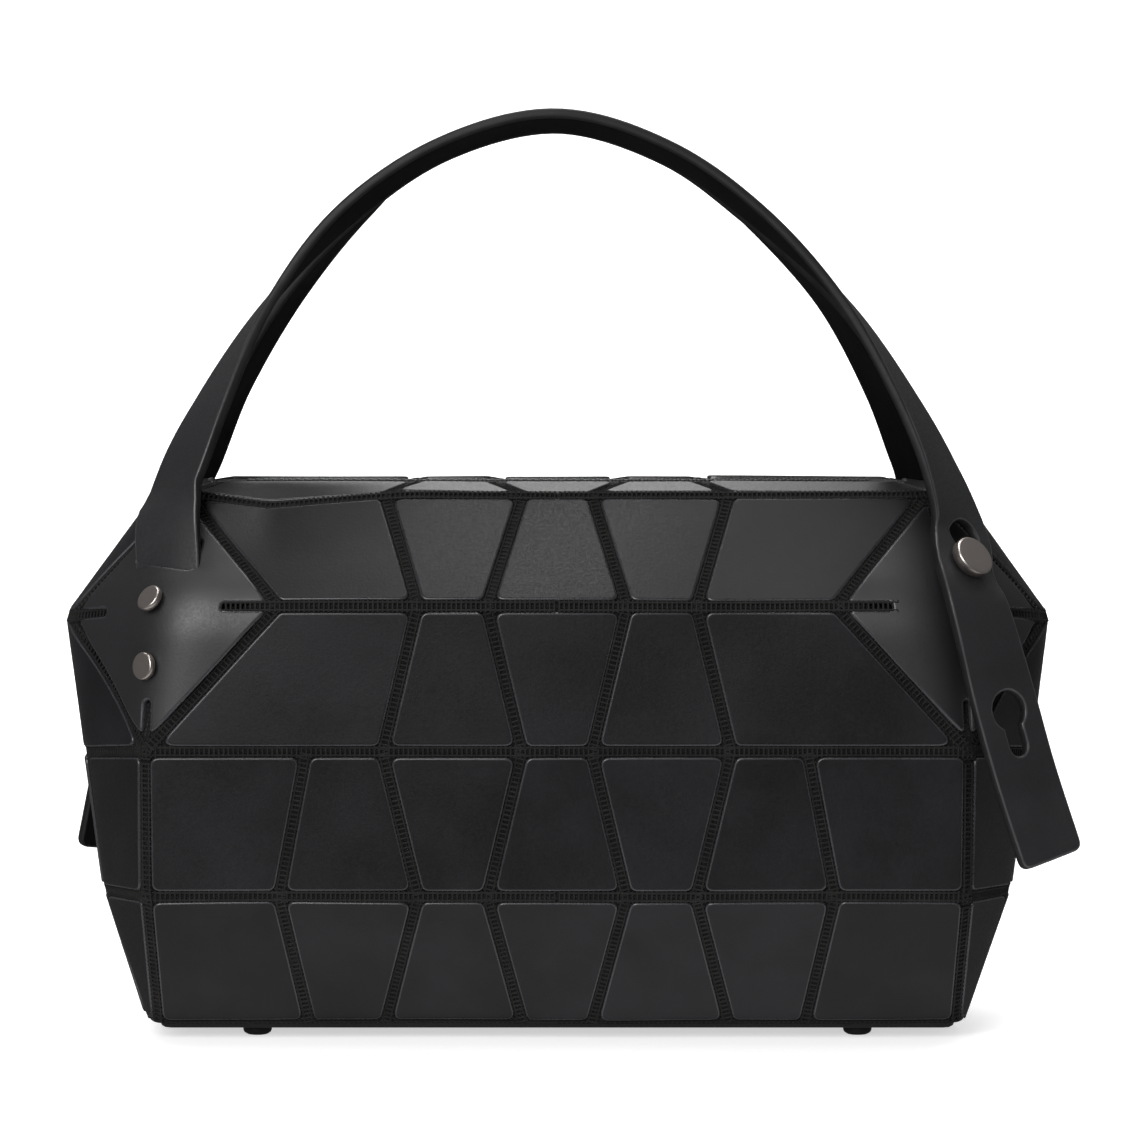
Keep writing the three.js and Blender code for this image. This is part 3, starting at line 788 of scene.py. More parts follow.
# Columns: z, half_depth, corner_x, round, end_drop, ridge_x, ridge_y, seam_inner, seam_middle, seam_outer,
# corner_shift
FOLDS = (
    Fold(5.0, 36.5, 116.5, 3, 0, 119.5, 29, 10, 50, 72, 0),
    Fold(44.5, 51.5, 118.4, 3, 2.5, 132.8, 20, 20, 40, 80, 0),
    Fold(86.6, 52.5, 118.5, 3, 4, 138.3, 20, 10, 50, 72, 0),
    Fold(128.3, 51.5, 111.0, 7, 6, 143.3, 20, 20, 40, 80, 6),
    Fold(158.2, 25.0, 108.0, 8, 1, 118.0, 10, 10, 50, 80, 0),
    Fold(160.8, 9.0, 98.0, 4, 0, 101.0, 5, 20, 40, 80, 0),
)
# Numbers of the high fold, the lid's fold and the rim of the mouth
HIGH = 3
TOP = 4
RIM = 5
# Signs of x and y of the bag's quarters
QUARTERS = ((1, -1), (-1, -1), (1, 1), (-1, 1))
FRONT_LEFT = (-1, -1)
FRONT_RIGHT = (1, -1)


class Edge(Enum):
    """Lines that bound the plates of a row."""

    MIRROR_INNER = "mirror_inner"
    SEAM_INNER = "seam_inner"
    SEAM_MIDDLE = "seam_middle"
    SEAM_OUTER = "seam_outer"
    CORNER = "corner"
    RIDGE = "ridge"
    END_MIDDLE = "end_middle"
    MIRROR_RIDGE = "mirror_ridge"
    MIRROR_CORNER = "mirror_corner"
    PATCH_FRONT = "patch_front"
    PATCH_END = "patch_end"


@dataclass
class Section:
    """Quarter sections of the body at several levels."""

    fold: dict[str, np.ndarray]
    flat: np.ndarray
    along: np.ndarray
    corner: np.ndarray
    ridge: np.ndarray
    end: np.ndarray


# Columns: share of the height, length along x, length along z, start
WAVES = (
    (0.6, 27.0, 41.0, 0.0),
    (0.4, 13.0, -19.0, 1.3),
)

def outward_normals(across: np.ndarray, up: np.ndarray, quarter: tuple[int, int]) -> np.ndarray:
    """Gives normals that point out of the bag.

    Args:
        across: Directions away from the front's middle.
        up: Directions up the wall.
        quarter: Signs of x and y of the quarter.

    Returns:
        The unit normals.
    """
    normals = unit(np.cross(across, up))
    return -normals if quarter[0] * quarter[1] > 0 else normals

@dataclass
class BodyWall:
    """The bag's outer surface, by level between folds and distance round from the front's middle."""

    folds: tuple[Fold, ...] = FOLDS
    corner_steps: int = 10
    corner_limit: float = 0.8
    ridge_steps: int = 6
    ridge_round: float = 6.0
    ridge_limits: tuple[float, float] = (0.9, 0.6)
    wave_height: float = 0.45
    wave_depth: float = 40.0
    dent_depth: float = 3.2
    dent_run: tuple[float, float, float] = (44.0, 84.0, 104.0)
    dent_levels: float = 0.7
    probe_along: float = 0.6
    probe_level: float = 0.02

    def section(self, levels: np.ndarray) -> Section:
        """Works out the quarter sections at some levels.

        Args:
            levels: Levels, whole numbers at the folds.

        Returns:
            The sections, one for each level.
        """
        steps = np.arange(len(self.folds))
        fold = {
            column.name: np.interp(levels, steps, [getattr(f, column.name) for f in self.folds])
            for column in fields(Fold)
        }
        zero = np.zeros(len(levels))
        corner = np.stack([fold["corner_x"], fold["half_depth"]], axis=1)
        ridge = np.stack([fold["ridge_x"], fold["ridge_y"]], axis=1)
        gap = np.linalg.norm(ridge - corner, axis=1)
        heading = (ridge - corner) / gap[:, None]
        reach = np.minimum(fold["round"], self.corner_limit * gap)
        before, after = self.ridge_limits
        room = np.minimum(before * (gap - reach), after * fold["ridge_y"])
        soft = np.minimum(self.ridge_round, room)
        start = corner - np.stack([fold["round"], zero], axis=1)
        end = corner + heading * reach[:, None]
        points = [np.stack([zero, fold["half_depth"]], axis=1)]
        points += self.bend(start, corner, end, self.corner_steps)
        ridge_end = ridge - np.stack([zero, soft], axis=1)
        points += self.bend(ridge - heading * soft[:, None], ridge, ridge_end, self.ridge_steps)
        points.append(np.stack([fold["ridge_x"], zero], axis=1))
        flat = np.stack(points, axis=1)
        lengths = np.linalg.norm(np.diff(flat, axis=1), axis=2)
        along = np.concatenate([zero[:, None], np.cumsum(lengths, axis=1)], axis=1)
        first = 2 + self.corner_steps
        return Section(
            fold, flat, along,
            corner=(along[:, 1] + along[:, 1 + self.corner_steps]) / 2 + fold["corner_shift"],
            ridge=(along[:, first] + along[:, first + self.ridge_steps]) / 2,
            end=along[:, -1],
        )

    @staticmethod
    def bend(start: np.ndarray, corner: np.ndarray, end: np.ndarray, steps: int) -> list[np.ndarray]:
        """Gives points on a curve that rounds a corner."""
        shares = np.linspace(0, 1, steps + 1)
        return [start * (1 - t) ** 2 + corner * 2 * t * (1 - t) + end * t * t for t in shares]

    def points(self, levels: np.ndarray, alongs: np.ndarray, quarter: tuple[int, int]) -> np.ndarray:
        """Gives points of the surface.

        Args:
            levels: Levels of the points.
            alongs: Distances round the bag; a negative one lies past the front's middle.
            quarter: Signs of x and y of the quarter that the distances start in.

        Returns:
            Points in millimetres.
        """
        section = self.section(levels)
        side_x = np.where(alongs < 0, -quarter[0], quarter[0])
        run = np.abs(alongs)
        past = run > section.end
        side_y = np.where(past, -quarter[1], quarter[1])
        run = np.where(past, 2 * section.end - run, run)
        count = section.along.shape[1]
        index = np.clip((section.along <= run[:, None]).sum(axis=1) - 1, 0, count - 2)
        rows = np.arange(len(levels))
        near, far = section.along[rows, index], section.along[rows, index + 1]
        share = (run - near) / (far - near)
        flat = section.flat[rows, index]
        flat = flat + share[:, None] * (section.flat[rows, index + 1] - flat)
        fold = section.fold
        sunk = np.clip((fold["half_depth"] - flat[:, 1]) / (fold["half_depth"] - fold["ridge_y"]), 0, 1)
        height = fold["z"] - fold["end_drop"] * sunk
        dip = np.interp(side_x * side_y * flat[:, 0], self.dent_run, (0, self.dent_depth, 0))
        height -= dip * np.clip(1 - np.abs(levels - TOP) / self.dent_levels, 0, 1)
        return np.stack([side_x * flat[:, 0], side_y * flat[:, 1], height], axis=1)

    def frames(
        self, levels: np.ndarray, alongs: np.ndarray, quarter: tuple[int, int],
    ) -> tuple[np.ndarray, np.ndarray]:
        """Gives points of the softly waved surface with their outward normals.

        Args:
            levels: Levels of the points.
            alongs: Distances round the bag.
            quarter: Signs of x and y of the quarter that the distances start in.

        Returns:
            Points and normals.
        """
        aside, rise = self.probe_along, self.probe_level
        across = self.points(levels, alongs + aside, quarter) - self.points(levels, alongs - aside, quarter)
        up = self.points(levels + rise, alongs, quarter) - self.points(levels - rise, alongs, quarter)
        normals = outward_normals(across, up, quarter)
        points = self.points(levels, alongs, quarter)
        return points + normals * self.wave(points)[:, None], normals

    def wave(self, points: np.ndarray) -> np.ndarray:
        """Gives the soft unevenness of the wall, the same on front and back after half a turn.

        Args:
            points: Points of the wall.

        Returns:
            Heights over the wall.
        """
        x = -np.sign(points[:, 1]) * points[:, 0]
        fade = np.clip(np.abs(points[:, 1]) / self.wave_depth, 0, 1)
        waves = [share * np.sin(x / along + points[:, 2] / up + start) for share, along, up, start in WAVES]
        return self.wave_height * fade * sum(waves)

    def row_height(self, row: int) -> float:
        """Gives the height of a row of plates along the front wall."""
        ends = self.points(np.array([row, row + 1.0]), np.zeros(2), FRONT_RIGHT)
        return float(np.linalg.norm(ends[1] - ends[0]))

    def patch_reach(self) -> tuple[float, float]:
        """Measures a corner patch.

        Returns:
            How far it reaches along the front, and along the end.
        """
        section = self.section(np.array([float(HIGH)]))
        corner = float(section.corner[0])
        return corner - self.folds[HIGH].seam_outer, float(section.ridge[0]) - corner

    def edge(self, edge: Edge, levels: np.ndarray) -> np.ndarray:
        """Gives the distance round the bag of a plate's edge.

        Args:
            edge: The edge.
            levels: Levels on it.

        Returns:
            Distances in millimetres.
        """
        section = self.section(levels)
        front, end = self.patch_reach()
        reach = 1 - np.abs(levels - HIGH)
        places = {
            Edge.MIRROR_INNER: -section.fold["seam_inner"],
            Edge.SEAM_INNER: section.fold["seam_inner"],
            Edge.SEAM_MIDDLE: section.fold["seam_middle"],
            Edge.SEAM_OUTER: section.fold["seam_outer"],
            Edge.CORNER: section.corner,
            Edge.RIDGE: section.ridge,
            Edge.END_MIDDLE: section.end,
            Edge.MIRROR_RIDGE: 2 * section.end - section.ridge,
            Edge.MIRROR_CORNER: 2 * section.end - section.corner,
            Edge.PATCH_FRONT: section.corner - reach * front,
            Edge.PATCH_END: section.corner + reach * end,
        }
        return places[edge]

    def patch_place(
        self, across: float, up: float, quarter: tuple[int, int],
    ) -> tuple[np.ndarray, np.ndarray]:
        """Gives a point and normal on a corner patch's seat.

        Args:
            across: From -1 at the patch's front tip to 1 at its end tip.
            up: From -1 at its lower tip to 1 at its upper tip.
            quarter: Signs of x and y of the patch's corner.

        Returns:
            The point and the normal.
        """
        front, end = self.patch_reach()
        level = np.array([HIGH + up])
        along = self.section(level).corner + across * (front if across < 0 else end)
        points, normals = self.frames(level, along, quarter)
        return points[0], normals[0]

    @staticmethod
    def around(quarter: np.ndarray) -> np.ndarray:
        """Mirrors the points of a quarter section to a whole loop.

        Args:
            quarter: Points from the front's middle to the end's middle.

        Returns:
            The loop, anticlockwise.
        """
        parts = [quarter * [sx, sy] for sx, sy in ((1, 1), (-1, 1), (-1, -1), (1, -1))]
        parts = [part if i % 2 else part[::-1] for i, part in enumerate(parts)]
        return np.concatenate([part[:-1] for part in parts])

# Repeated shapes

def start_tree(name: str, inputs: dict[str, str]) -> tuple[bpy.types.NodeTree, Any]:
    """Starts a Geometry Nodes tree.

    Args:
        name: Name of the tree.
        inputs: Socket type of each named input.

    Returns:
        The tree, and the sockets that its inputs come from.
    """
    tree = bpy.data.node_groups.new(name, "GeometryNodeTree")
    for label, kind in inputs.items():
        tree.interface.new_socket(label, in_out="INPUT", socket_type=kind)
    tree.interface.new_socket("Result", in_out="OUTPUT", socket_type="NodeSocketGeometry")
    return tree, add_node(tree, "NodeGroupInput").outputs

def end_tree(
    tree: bpy.types.NodeTree, made: bpy.types.NodeSocket, finish: bpy.types.NodeSocket,
) -> bpy.types.NodeTree:
    """Ends a Geometry Nodes tree: makes its instances real and gives them their finish.

    Args:
        tree: The tree.
        made: Socket with the geometry.
        finish: Socket with the material.

    Returns:
        The tree.
    """
    real = add_node(tree, "GeometryNodeRealizeInstances", None, {"Geometry": made})
    dressed = add_node(
        tree, "GeometryNodeSetMaterial", None, {"Geometry": real.outputs["Geometry"], "Material": finish},
    )
    add_node(tree, "NodeGroupOutput", None, {"Result": dressed.outputs["Geometry"]})
    return tree

@dataclass
class Repeater:
    """Sets copies of a small shape on framed points, through Geometry Nodes."""

    name: str

    def tree(self) -> bpy.types.NodeTree:
        """Builds the node tree.

        Returns:
            A tree with inputs for the shape, its size and its finish.
        """
        tree, given = start_tree(self.name, {
            "Places": "NodeSocketGeometry", "Shape": "NodeSocketObject",
            "Size": "NodeSocketVector", "Finish": "NodeSocketMaterial",
        })
        shape = add_node(tree, "GeometryNodeObjectInfo", None, {"Object": given["Shape"]})
        axes = [
            add_node(tree, "GeometryNodeInputNamedAttribute", {"data_type": "FLOAT_VECTOR"}, {"Name": name})
            for name in ("axis", "heading")
        ]
        turn = add_node(
            tree, "FunctionNodeAxesToRotation", {"primary_axis": "Z", "secondary_axis": "X"},
            {0: axes[0].outputs["Attribute"], 1: axes[1].outputs["Attribute"]},
        )
        copies = add_node(
            tree, "GeometryNodeInstanceOnPoints", None,
            {
                "Points": given["Places"], "Instance": shape.outputs["Geometry"],
                "Rotation": turn.outputs[0], "Scale": given["Size"],
            },
        )
        return end_tree(tree, copies.outputs["Instances"], given["Finish"])

    def build(
        self,
        shape: Shape,
        points: np.ndarray,
        axes: np.ndarray,
        headings: np.ndarray,
        finish: bpy.types.Material,
        size: tuple[float, float, float] = (1.0, 1.0, 1.0),
    ) -> bpy.types.Object:
        """Makes one plain mesh of all the copies.

        Args:
            shape: The shape, with its axis along Z and its heading along X.
            points: Places in millimetres.
            axes: Direction of the shape's axis at each place.
            headings: Direction of the shape's X at each place.
            finish: Material of the copies.
            size: Scale of the shape along its own axes.

        Returns:
            The piece.
        """
        pattern = mesh_object(self.name + "_shape", [shape])
        mesh = bpy.data.meshes.new(self.name)
        mesh.from_pydata((points * MM).tolist(), [], [])
        for label, values in (("axis", axes), ("heading", headings)):
            layer = mesh.attributes.new(label, "FLOAT_VECTOR", "POINT")
            layer.data.foreach_set("vector", values.astype(np.float32).ravel())
        piece = bpy.data.objects.new(self.name, mesh)
        bpy.context.scene.collection.objects.link(piece)
        apply_tree(piece, self.tree(), {"Shape": pattern, "Size": size, "Finish": finish})
        bpy.data.objects.remove(pattern)
        return piece


@dataclass
class ThreadRun:
    """Round threads along open lines, through Geometry Nodes."""

    name: str
    sides: int = 6

    def tree(self) -> bpy.types.NodeTree:
        """Builds the node tree.

        Returns:
            A tree with inputs for the thread's radius and finish.
        """
        tree, given = start_tree(self.name, {
            "Lines": "NodeSocketGeometry", "Radius": "NodeSocketFloat", "Finish": "NodeSocketMaterial",
        })
        curves = add_node(tree, "GeometryNodeMeshToCurve", None, {"Mesh": given["Lines"]})
        ring = add_node(
            tree, "GeometryNodeCurvePrimitiveCircle", None,
            {"Resolution": self.sides, "Radius": given["Radius"]},
        )
        tube = add_node(
            tree, "GeometryNodeCurveToMesh", None,
            {"Curve": curves.outputs["Curve"], "Profile Curve": ring.outputs["Curve"], "Fill Caps": True},
        )
        return end_tree(tree, tube.outputs["Mesh"], given["Finish"])

    def build(
        self, lines: Sequence[np.ndarray], radius: float, finish: bpy.types.Material,
    ) -> bpy.types.Object:
        """Makes one plain mesh of all the threads.

        Args:
            lines: Points of each line in millimetres.
            radius: Radius of the thread in millimetres.
            finish: Material of the threads.

        Returns:
            The piece.
        """
        edges: list[tuple[int, int]] = []
        start = 0
        for line in lines:
            edges.extend((start + i, start + i + 1) for i in range(len(line) - 1))
            start += len(line)
        mesh = bpy.data.meshes.new(self.name)
        mesh.from_pydata((np.concatenate(lines) * MM).tolist(), edges, [])
        piece = bpy.data.objects.new(self.name, mesh)
        bpy.context.scene.collection.objects.link(piece)
        apply_tree(piece, self.tree(), {"Radius": radius * MM, "Finish": finish})
        return piece


def apply_tree(piece: bpy.types.Object, tree: bpy.types.NodeTree, values: dict[str, Any]) -> None:
    """Runs a node tree on a piece and leaves a plain mesh.

    Args:
        piece: The piece that carries the points or lines.
        tree: The node tree.
        values: Values of the tree's named inputs.
    """
    modifier = piece.modifiers.new(tree.name, "NODES")
    modifier.node_group = tree
    for item in tree.interface.items_tree:
        if item.item_type == "SOCKET" and item.in_out == "INPUT" and item.name in values:
            modifier[item.identifier] = values[item.name]
    bpy.context.view_layer.update()
    evaluated = piece.evaluated_get(bpy.context.evaluated_depsgraph_get())
    mesh = bpy.data.meshes.new_from_object(evaluated)
    piece.modifiers.remove(modifier)
    piece.data = mesh
    shade_smooth(mesh)


# The bag's parts

SIDE_PLATES = (
    (Edge.MIRROR_INNER, Edge.SEAM_INNER),
    (Edge.SEAM_INNER, Edge.SEAM_MIDDLE),
    (Edge.SEAM_MIDDLE, Edge.SEAM_OUTER),
    (Edge.SEAM_OUTER, Edge.CORNER),
    (Edge.CORNER, Edge.RIDGE),
    (Edge.RIDGE, Edge.MIRROR_RIDGE),
)
PATCHED_PLATES = (
    (Edge.MIRROR_INNER, Edge.SEAM_INNER),
    (Edge.SEAM_INNER, Edge.SEAM_MIDDLE),
    (Edge.SEAM_MIDDLE, Edge.PATCH_FRONT),
    (Edge.PATCH_END, Edge.END_MIDDLE),
)
LID_PLATES = (
    (Edge.MIRROR_INNER, Edge.SEAM_INNER),
    (Edge.SEAM_INNER, Edge.SEAM_MIDDLE),
    (Edge.SEAM_MIDDLE, Edge.CORNER),
    (Edge.CORNER, Edge.MIRROR_CORNER),
)
PLATE_ROWS = (SIDE_PLATES, SIDE_PLATES, PATCHED_PLATES, PATCHED_PLATES, LID_PLATES)
MIRRORED_FRONT = (Edge.MIRROR_INNER,)
MIRRORED_END = (Edge.MIRROR_RIDGE, Edge.MIRROR_CORNER)
BENT_EDGES = (Edge.SEAM_MIDDLE, Edge.CORNER, Edge.PATCH_END, Edge.RIDGE)


# Columns: x and z of a rung of unit size, with its upper edges cut
RUNG_SECTION = ((0.5, 0.3), (0.3, 0.5), (-0.3, 0.5), (-0.5, 0.3), (-0.5, -0.5), (0.5, -0.5))

@dataclass
class MeshBody:
    """The mesh body: its wall, and the threads that show in the grooves between the plates."""

    wall: BodyWall
    thick: float = 1.8
    row_steps: int = 6
    front_steps: int = 12
    end_steps: int = 4
    flat_row: float = 41.0
    line_steps: int = 60
    rung_pitch: float = 1.4
    rung_size: tuple[float, float, float] = (0.62, 3.6, 0.55)
    rung_lift: float = 0.1
    rail_offset: float = 1.15
    rail_radius: float = 0.36
    rail_lift: float = 0.15
    rail_stride: int = 3
    under_patch: float = 4.2
    push_reach: float = 0.75
    push_blend: float = 0.3
    covered: float = 0.5

    def build(self) -> list[bpy.types.Object]:
        """Builds the wall, the rungs and the rails.

        Returns:
            The three pieces.
        """
        lines = self.groove_lines()
        return [self.build_wall(), self.build_rungs(lines), self.build_rails(lines)]

    def ring(self, level: float, sunk: float) -> tuple[np.ndarray, np.ndarray]:
        """Gives one section of the wall.

        Args:
            level: Level of the section.
            sunk: Distance inwards from the outer surface.

        Returns:
            Points all round, and their flat coordinates.
        """
        section = self.wall.section(np.array([level]))
        along = section.along[0]
        front = np.linspace(0, along[1], self.front_steps, endpoint=False)
        end = np.linspace(along[-2], along[-1], self.end_steps)
        quarter_run = np.concatenate([front, along[1:-2], end])
        rings: list[np.ndarray] = []
        flats: list[np.ndarray] = []
        for number, quarter in enumerate(((1, -1), (1, 1), (-1, 1), (-1, -1))):
            run = quarter_run if number % 2 == 0 else quarter_run[::-1]
            run = run[:-1]
            levels = np.full(len(run), level)
            points, normals = self.wall.frames(levels, run, quarter)
            depth = sunk + self.push(levels, run)
            rings.append(points - normals * depth[:, None])
            around = number * along[-1] + (run if number % 2 == 0 else along[-1] - run)
            flats.append(np.stack([around, np.full(len(run), level * self.flat_row)], axis=1))
        return np.concatenate(rings), np.concatenate(flats)

    def push(self, levels: np.ndarray, alongs: np.ndarray) -> np.ndarray:
        """Gives how far the wall is pushed in behind the corner patches.

        Args:
            levels: Levels of the points.
            alongs: Distances round the bag.

        Returns:
            Distances inwards.
        """
        front, end = self.wall.patch_reach()
        across = alongs - self.wall.section(levels).corner
        share = np.where(across < 0, -across / front, across / end) + np.abs(levels - HIGH)
        blend = np.clip((self.push_reach - share) / self.push_blend, 0, 1)
        return self.under_patch * blend * blend * (3 - 2 * blend)

    def build_wall(self) -> bpy.types.Object:
        """Builds the hollow wall, closed at the base and open at the rim.

        Returns:
            The wall.
        """
        count = RIM * self.row_steps
        levels = [i / self.row_steps for i in range(count + 1)]
        outside = [self.ring(level, 0.0) for level in levels]
        within = [self.ring(level, self.thick) for level in reversed(levels)]
        floor, _ = within[-1]
        floor[:, 2] += self.thick
        rings = [points for points, _ in outside + within]
        faces = capped_faces(len(rings[0]), len(rings))
        flat = np.concatenate([f for _, f in outside + within])
        shape = Shape(np.concatenate(rings), faces, [Side.FACE] * len(faces), flat=flat)
        return mesh_object("mesh_wall", [shape.outward()], [MESH_CLOTH.build()])

    def groove_lines(self) -> list[Groove]:
        """Finds the grooves between the plates.

        Returns:
            For each groove, evenly spaced points with their normals and headings.
        """
        lines: list[Groove] = []
        share = np.linspace(0, 1, self.line_steps)
        front, end = self.wall.patch_reach()
        for quarter in QUARTERS:
            for level in range(1, TOP + 1):
                levels = np.full(len(share), float(level))
                section = self.wall.section(levels)
                stops = [(0.0, float(section.end[0]))]
                if level == HIGH:
                    corner = float(section.corner[0])
                    stops = [
                        (0.0, corner - front * self.covered),
                        (corner + end * self.covered, float(section.end[0])),
                    ]
                for near, far in stops:
                    lines.append(self.evenly(levels, near + (far - near) * share, quarter))
            for row, plates in enumerate(PLATE_ROWS):
                levels = row + share
                for edge in {e: None for plate in plates for e in plate}:
                    if edge in MIRRORED_FRONT or edge in MIRRORED_END:
                        continue
                    if edge is Edge.END_MIDDLE and quarter[1] > 0:
                        continue
                    lines.append(self.evenly(levels, self.wall.edge(edge, levels), quarter))
        return lines

    def evenly(
        self, levels: np.ndarray, alongs: np.ndarray, quarter: tuple[int, int],
    ) -> Groove:
        """Spaces points evenly along a line on the wall.

        Args:
            levels: Levels along the line.
            alongs: Distances round the bag along the line.
            quarter: Signs of x and y of the quarter.

        Returns:
            Points, normals and headings at the rungs' pitch.
        """
        rough = self.wall.points(levels, alongs, quarter)
        run = np.concatenate([[0], np.cumsum(np.linalg.norm(np.diff(rough, axis=0), axis=1))])
        count = max(2, round(run[-1] / self.rung_pitch))
        at = (np.arange(count) + 0.5) * run[-1] / count
        points, normals = self.wall.frames(
            np.interp(at, run, levels), np.interp(at, run, alongs), quarter,
        )
        return points, normals, unit(np.gradient(points, axis=0))

    def build_rungs(self, lines: Sequence[Groove]) -> bpy.types.Object:
        """Builds the cross threads that show in the grooves.

        Args:
            lines: The grooves.

        Returns:
            The rungs as one piece.
        """
        points = np.concatenate([line[0] + line[1] * self.rung_lift for line in lines])
        normals = np.concatenate([line[1] for line in lines])
        headings = np.concatenate([line[2] for line in lines])
        ends = [np.insert(np.array(RUNG_SECTION), 1, y, axis=1) for y in (-0.5, 0.5)]
        faces = capped_faces(len(RUNG_SECTION), len(ends))
        bar = Shape(np.concatenate(ends), faces, [Side.FACE] * len(faces)).outward()
        return Repeater("mesh_rungs").build(
            bar, points, normals, headings, MESH_THREAD.build(), self.rung_size,
        )

    def build_rails(self, lines: Sequence[Groove]) -> bpy.types.Object:
        """Builds the long threads on both sides of the grooves.

        Args:
            lines: The grooves.

        Returns:
            The rails as one piece.
        """
        rails: list[np.ndarray] = []
        for points, normals, headings in lines:
            aside = np.cross(normals, headings)
            for side in (-1, 1):
                rail = points + aside * side * self.rail_offset + normals * self.rail_lift
                rails.append(rail[::self.rail_stride])
        return ThreadRun("mesh_rails").build(
            [rail for rail in rails if len(rail) > 1], self.rail_radius, MESH_THREAD.build(),
        )

    def dress(self, pieces: Sequence[bpy.types.Object]) -> None:
        """Ties the pieces to the part; the wall stands for the body together with its threads.

        Args:
            pieces: The wall, then its threads.
        """
        settle(pieces[0], ["body_shell"])
        for piece in pieces[1:]:
            settle(piece)


@dataclass
class PlateSet:
    """The plates that are bonded on the mesh, each a little tilted and with its own shade."""

    wall: BodyWall
    groove: float = 3.3
    thick: float = 1.0
    embed: float = 0.5
    corner_radius: float = 2.4
    edge: float = 0.5
    flat_spacing: float = 11.0
    bent_spacing: float = 4.0
    edge_points: int = 3
    tilt: float = 0.012
    seed: int = 11

    def build(self) -> list[bpy.types.Object]:
        """Builds all plates.

        Returns:
            One piece for the plates.
        """
        chance = np.random.default_rng(self.seed)
        shapes: list[Shape] = []
        for row, plates in enumerate(PLATE_ROWS):
            for start, stop in plates:
                for quarter in QUARTERS:
                    if start in MIRRORED_FRONT and quarter[0] < 0:
                        continue
                    if stop in MIRRORED_END and quarter[1] > 0:
                        continue
                    shapes.append(self.plate(row, start, stop, quarter, chance))
        sheet = PLATE_VINYL.build()
        # Edges and rims take the paler colour, a painted highlight.
        edge_highlight = PAINTED_EDGE_HIGHLIGHT.build()
        return [mesh_object("plates", shapes, [sheet, edge_highlight, sheet, edge_highlight])]

    def plate(
        self, row: int, start: Edge, stop: Edge, quarter: tuple[int, int], chance: np.random.Generator,
    ) -> Shape:
        """Builds one plate.

        Args:
            row: Row of the plate, counted from the base.
            start: Edge that it starts at.
            stop: Edge that it ends at.
            quarter: Signs of x and y of the quarter.
            chance: Source of its tilt and shade.

        Returns:
            The plate.
        """
        height = self.wall.row_height(row)
        share = np.linspace(0, 1, self.edge_points)
        near = np.stack([self.wall.edge(start, row + share), share * height], axis=1)
        far = np.stack([self.wall.edge(stop, row + share), share * height], axis=1)
        loop = inset(np.concatenate([far, near[::-1]]), self.groove / 2)
        lean = chance.uniform(-self.tilt, self.tilt, 2)
        centre = loop.mean(axis=0)

        def place(flat: np.ndarray) -> tuple[np.ndarray, np.ndarray]:
            """Places flat points of the plate on the wall."""
            return self.wall.frames(row + flat[:, 1] / height, flat[:, 0], quarter)

        def lift(flat: np.ndarray) -> np.ndarray:
            """Gives the plate's tilt as a height."""
            return (flat - centre) @ lean

        bent = start in BENT_EDGES
        spacing = self.bent_spacing if bent else self.flat_spacing
        outline = Outline(loop, self.corner_radius)
        shape = panel([outline], place, -self.embed, self.thick, self.edge, spacing, lift=lift)
        shape.tone = float(chance.uniform(-1, 1))
        return shape

    def dress(self, pieces: Sequence[bpy.types.Object]) -> None:
        """Ties the plates to the part."""
        for piece in pieces:
            settle(piece)


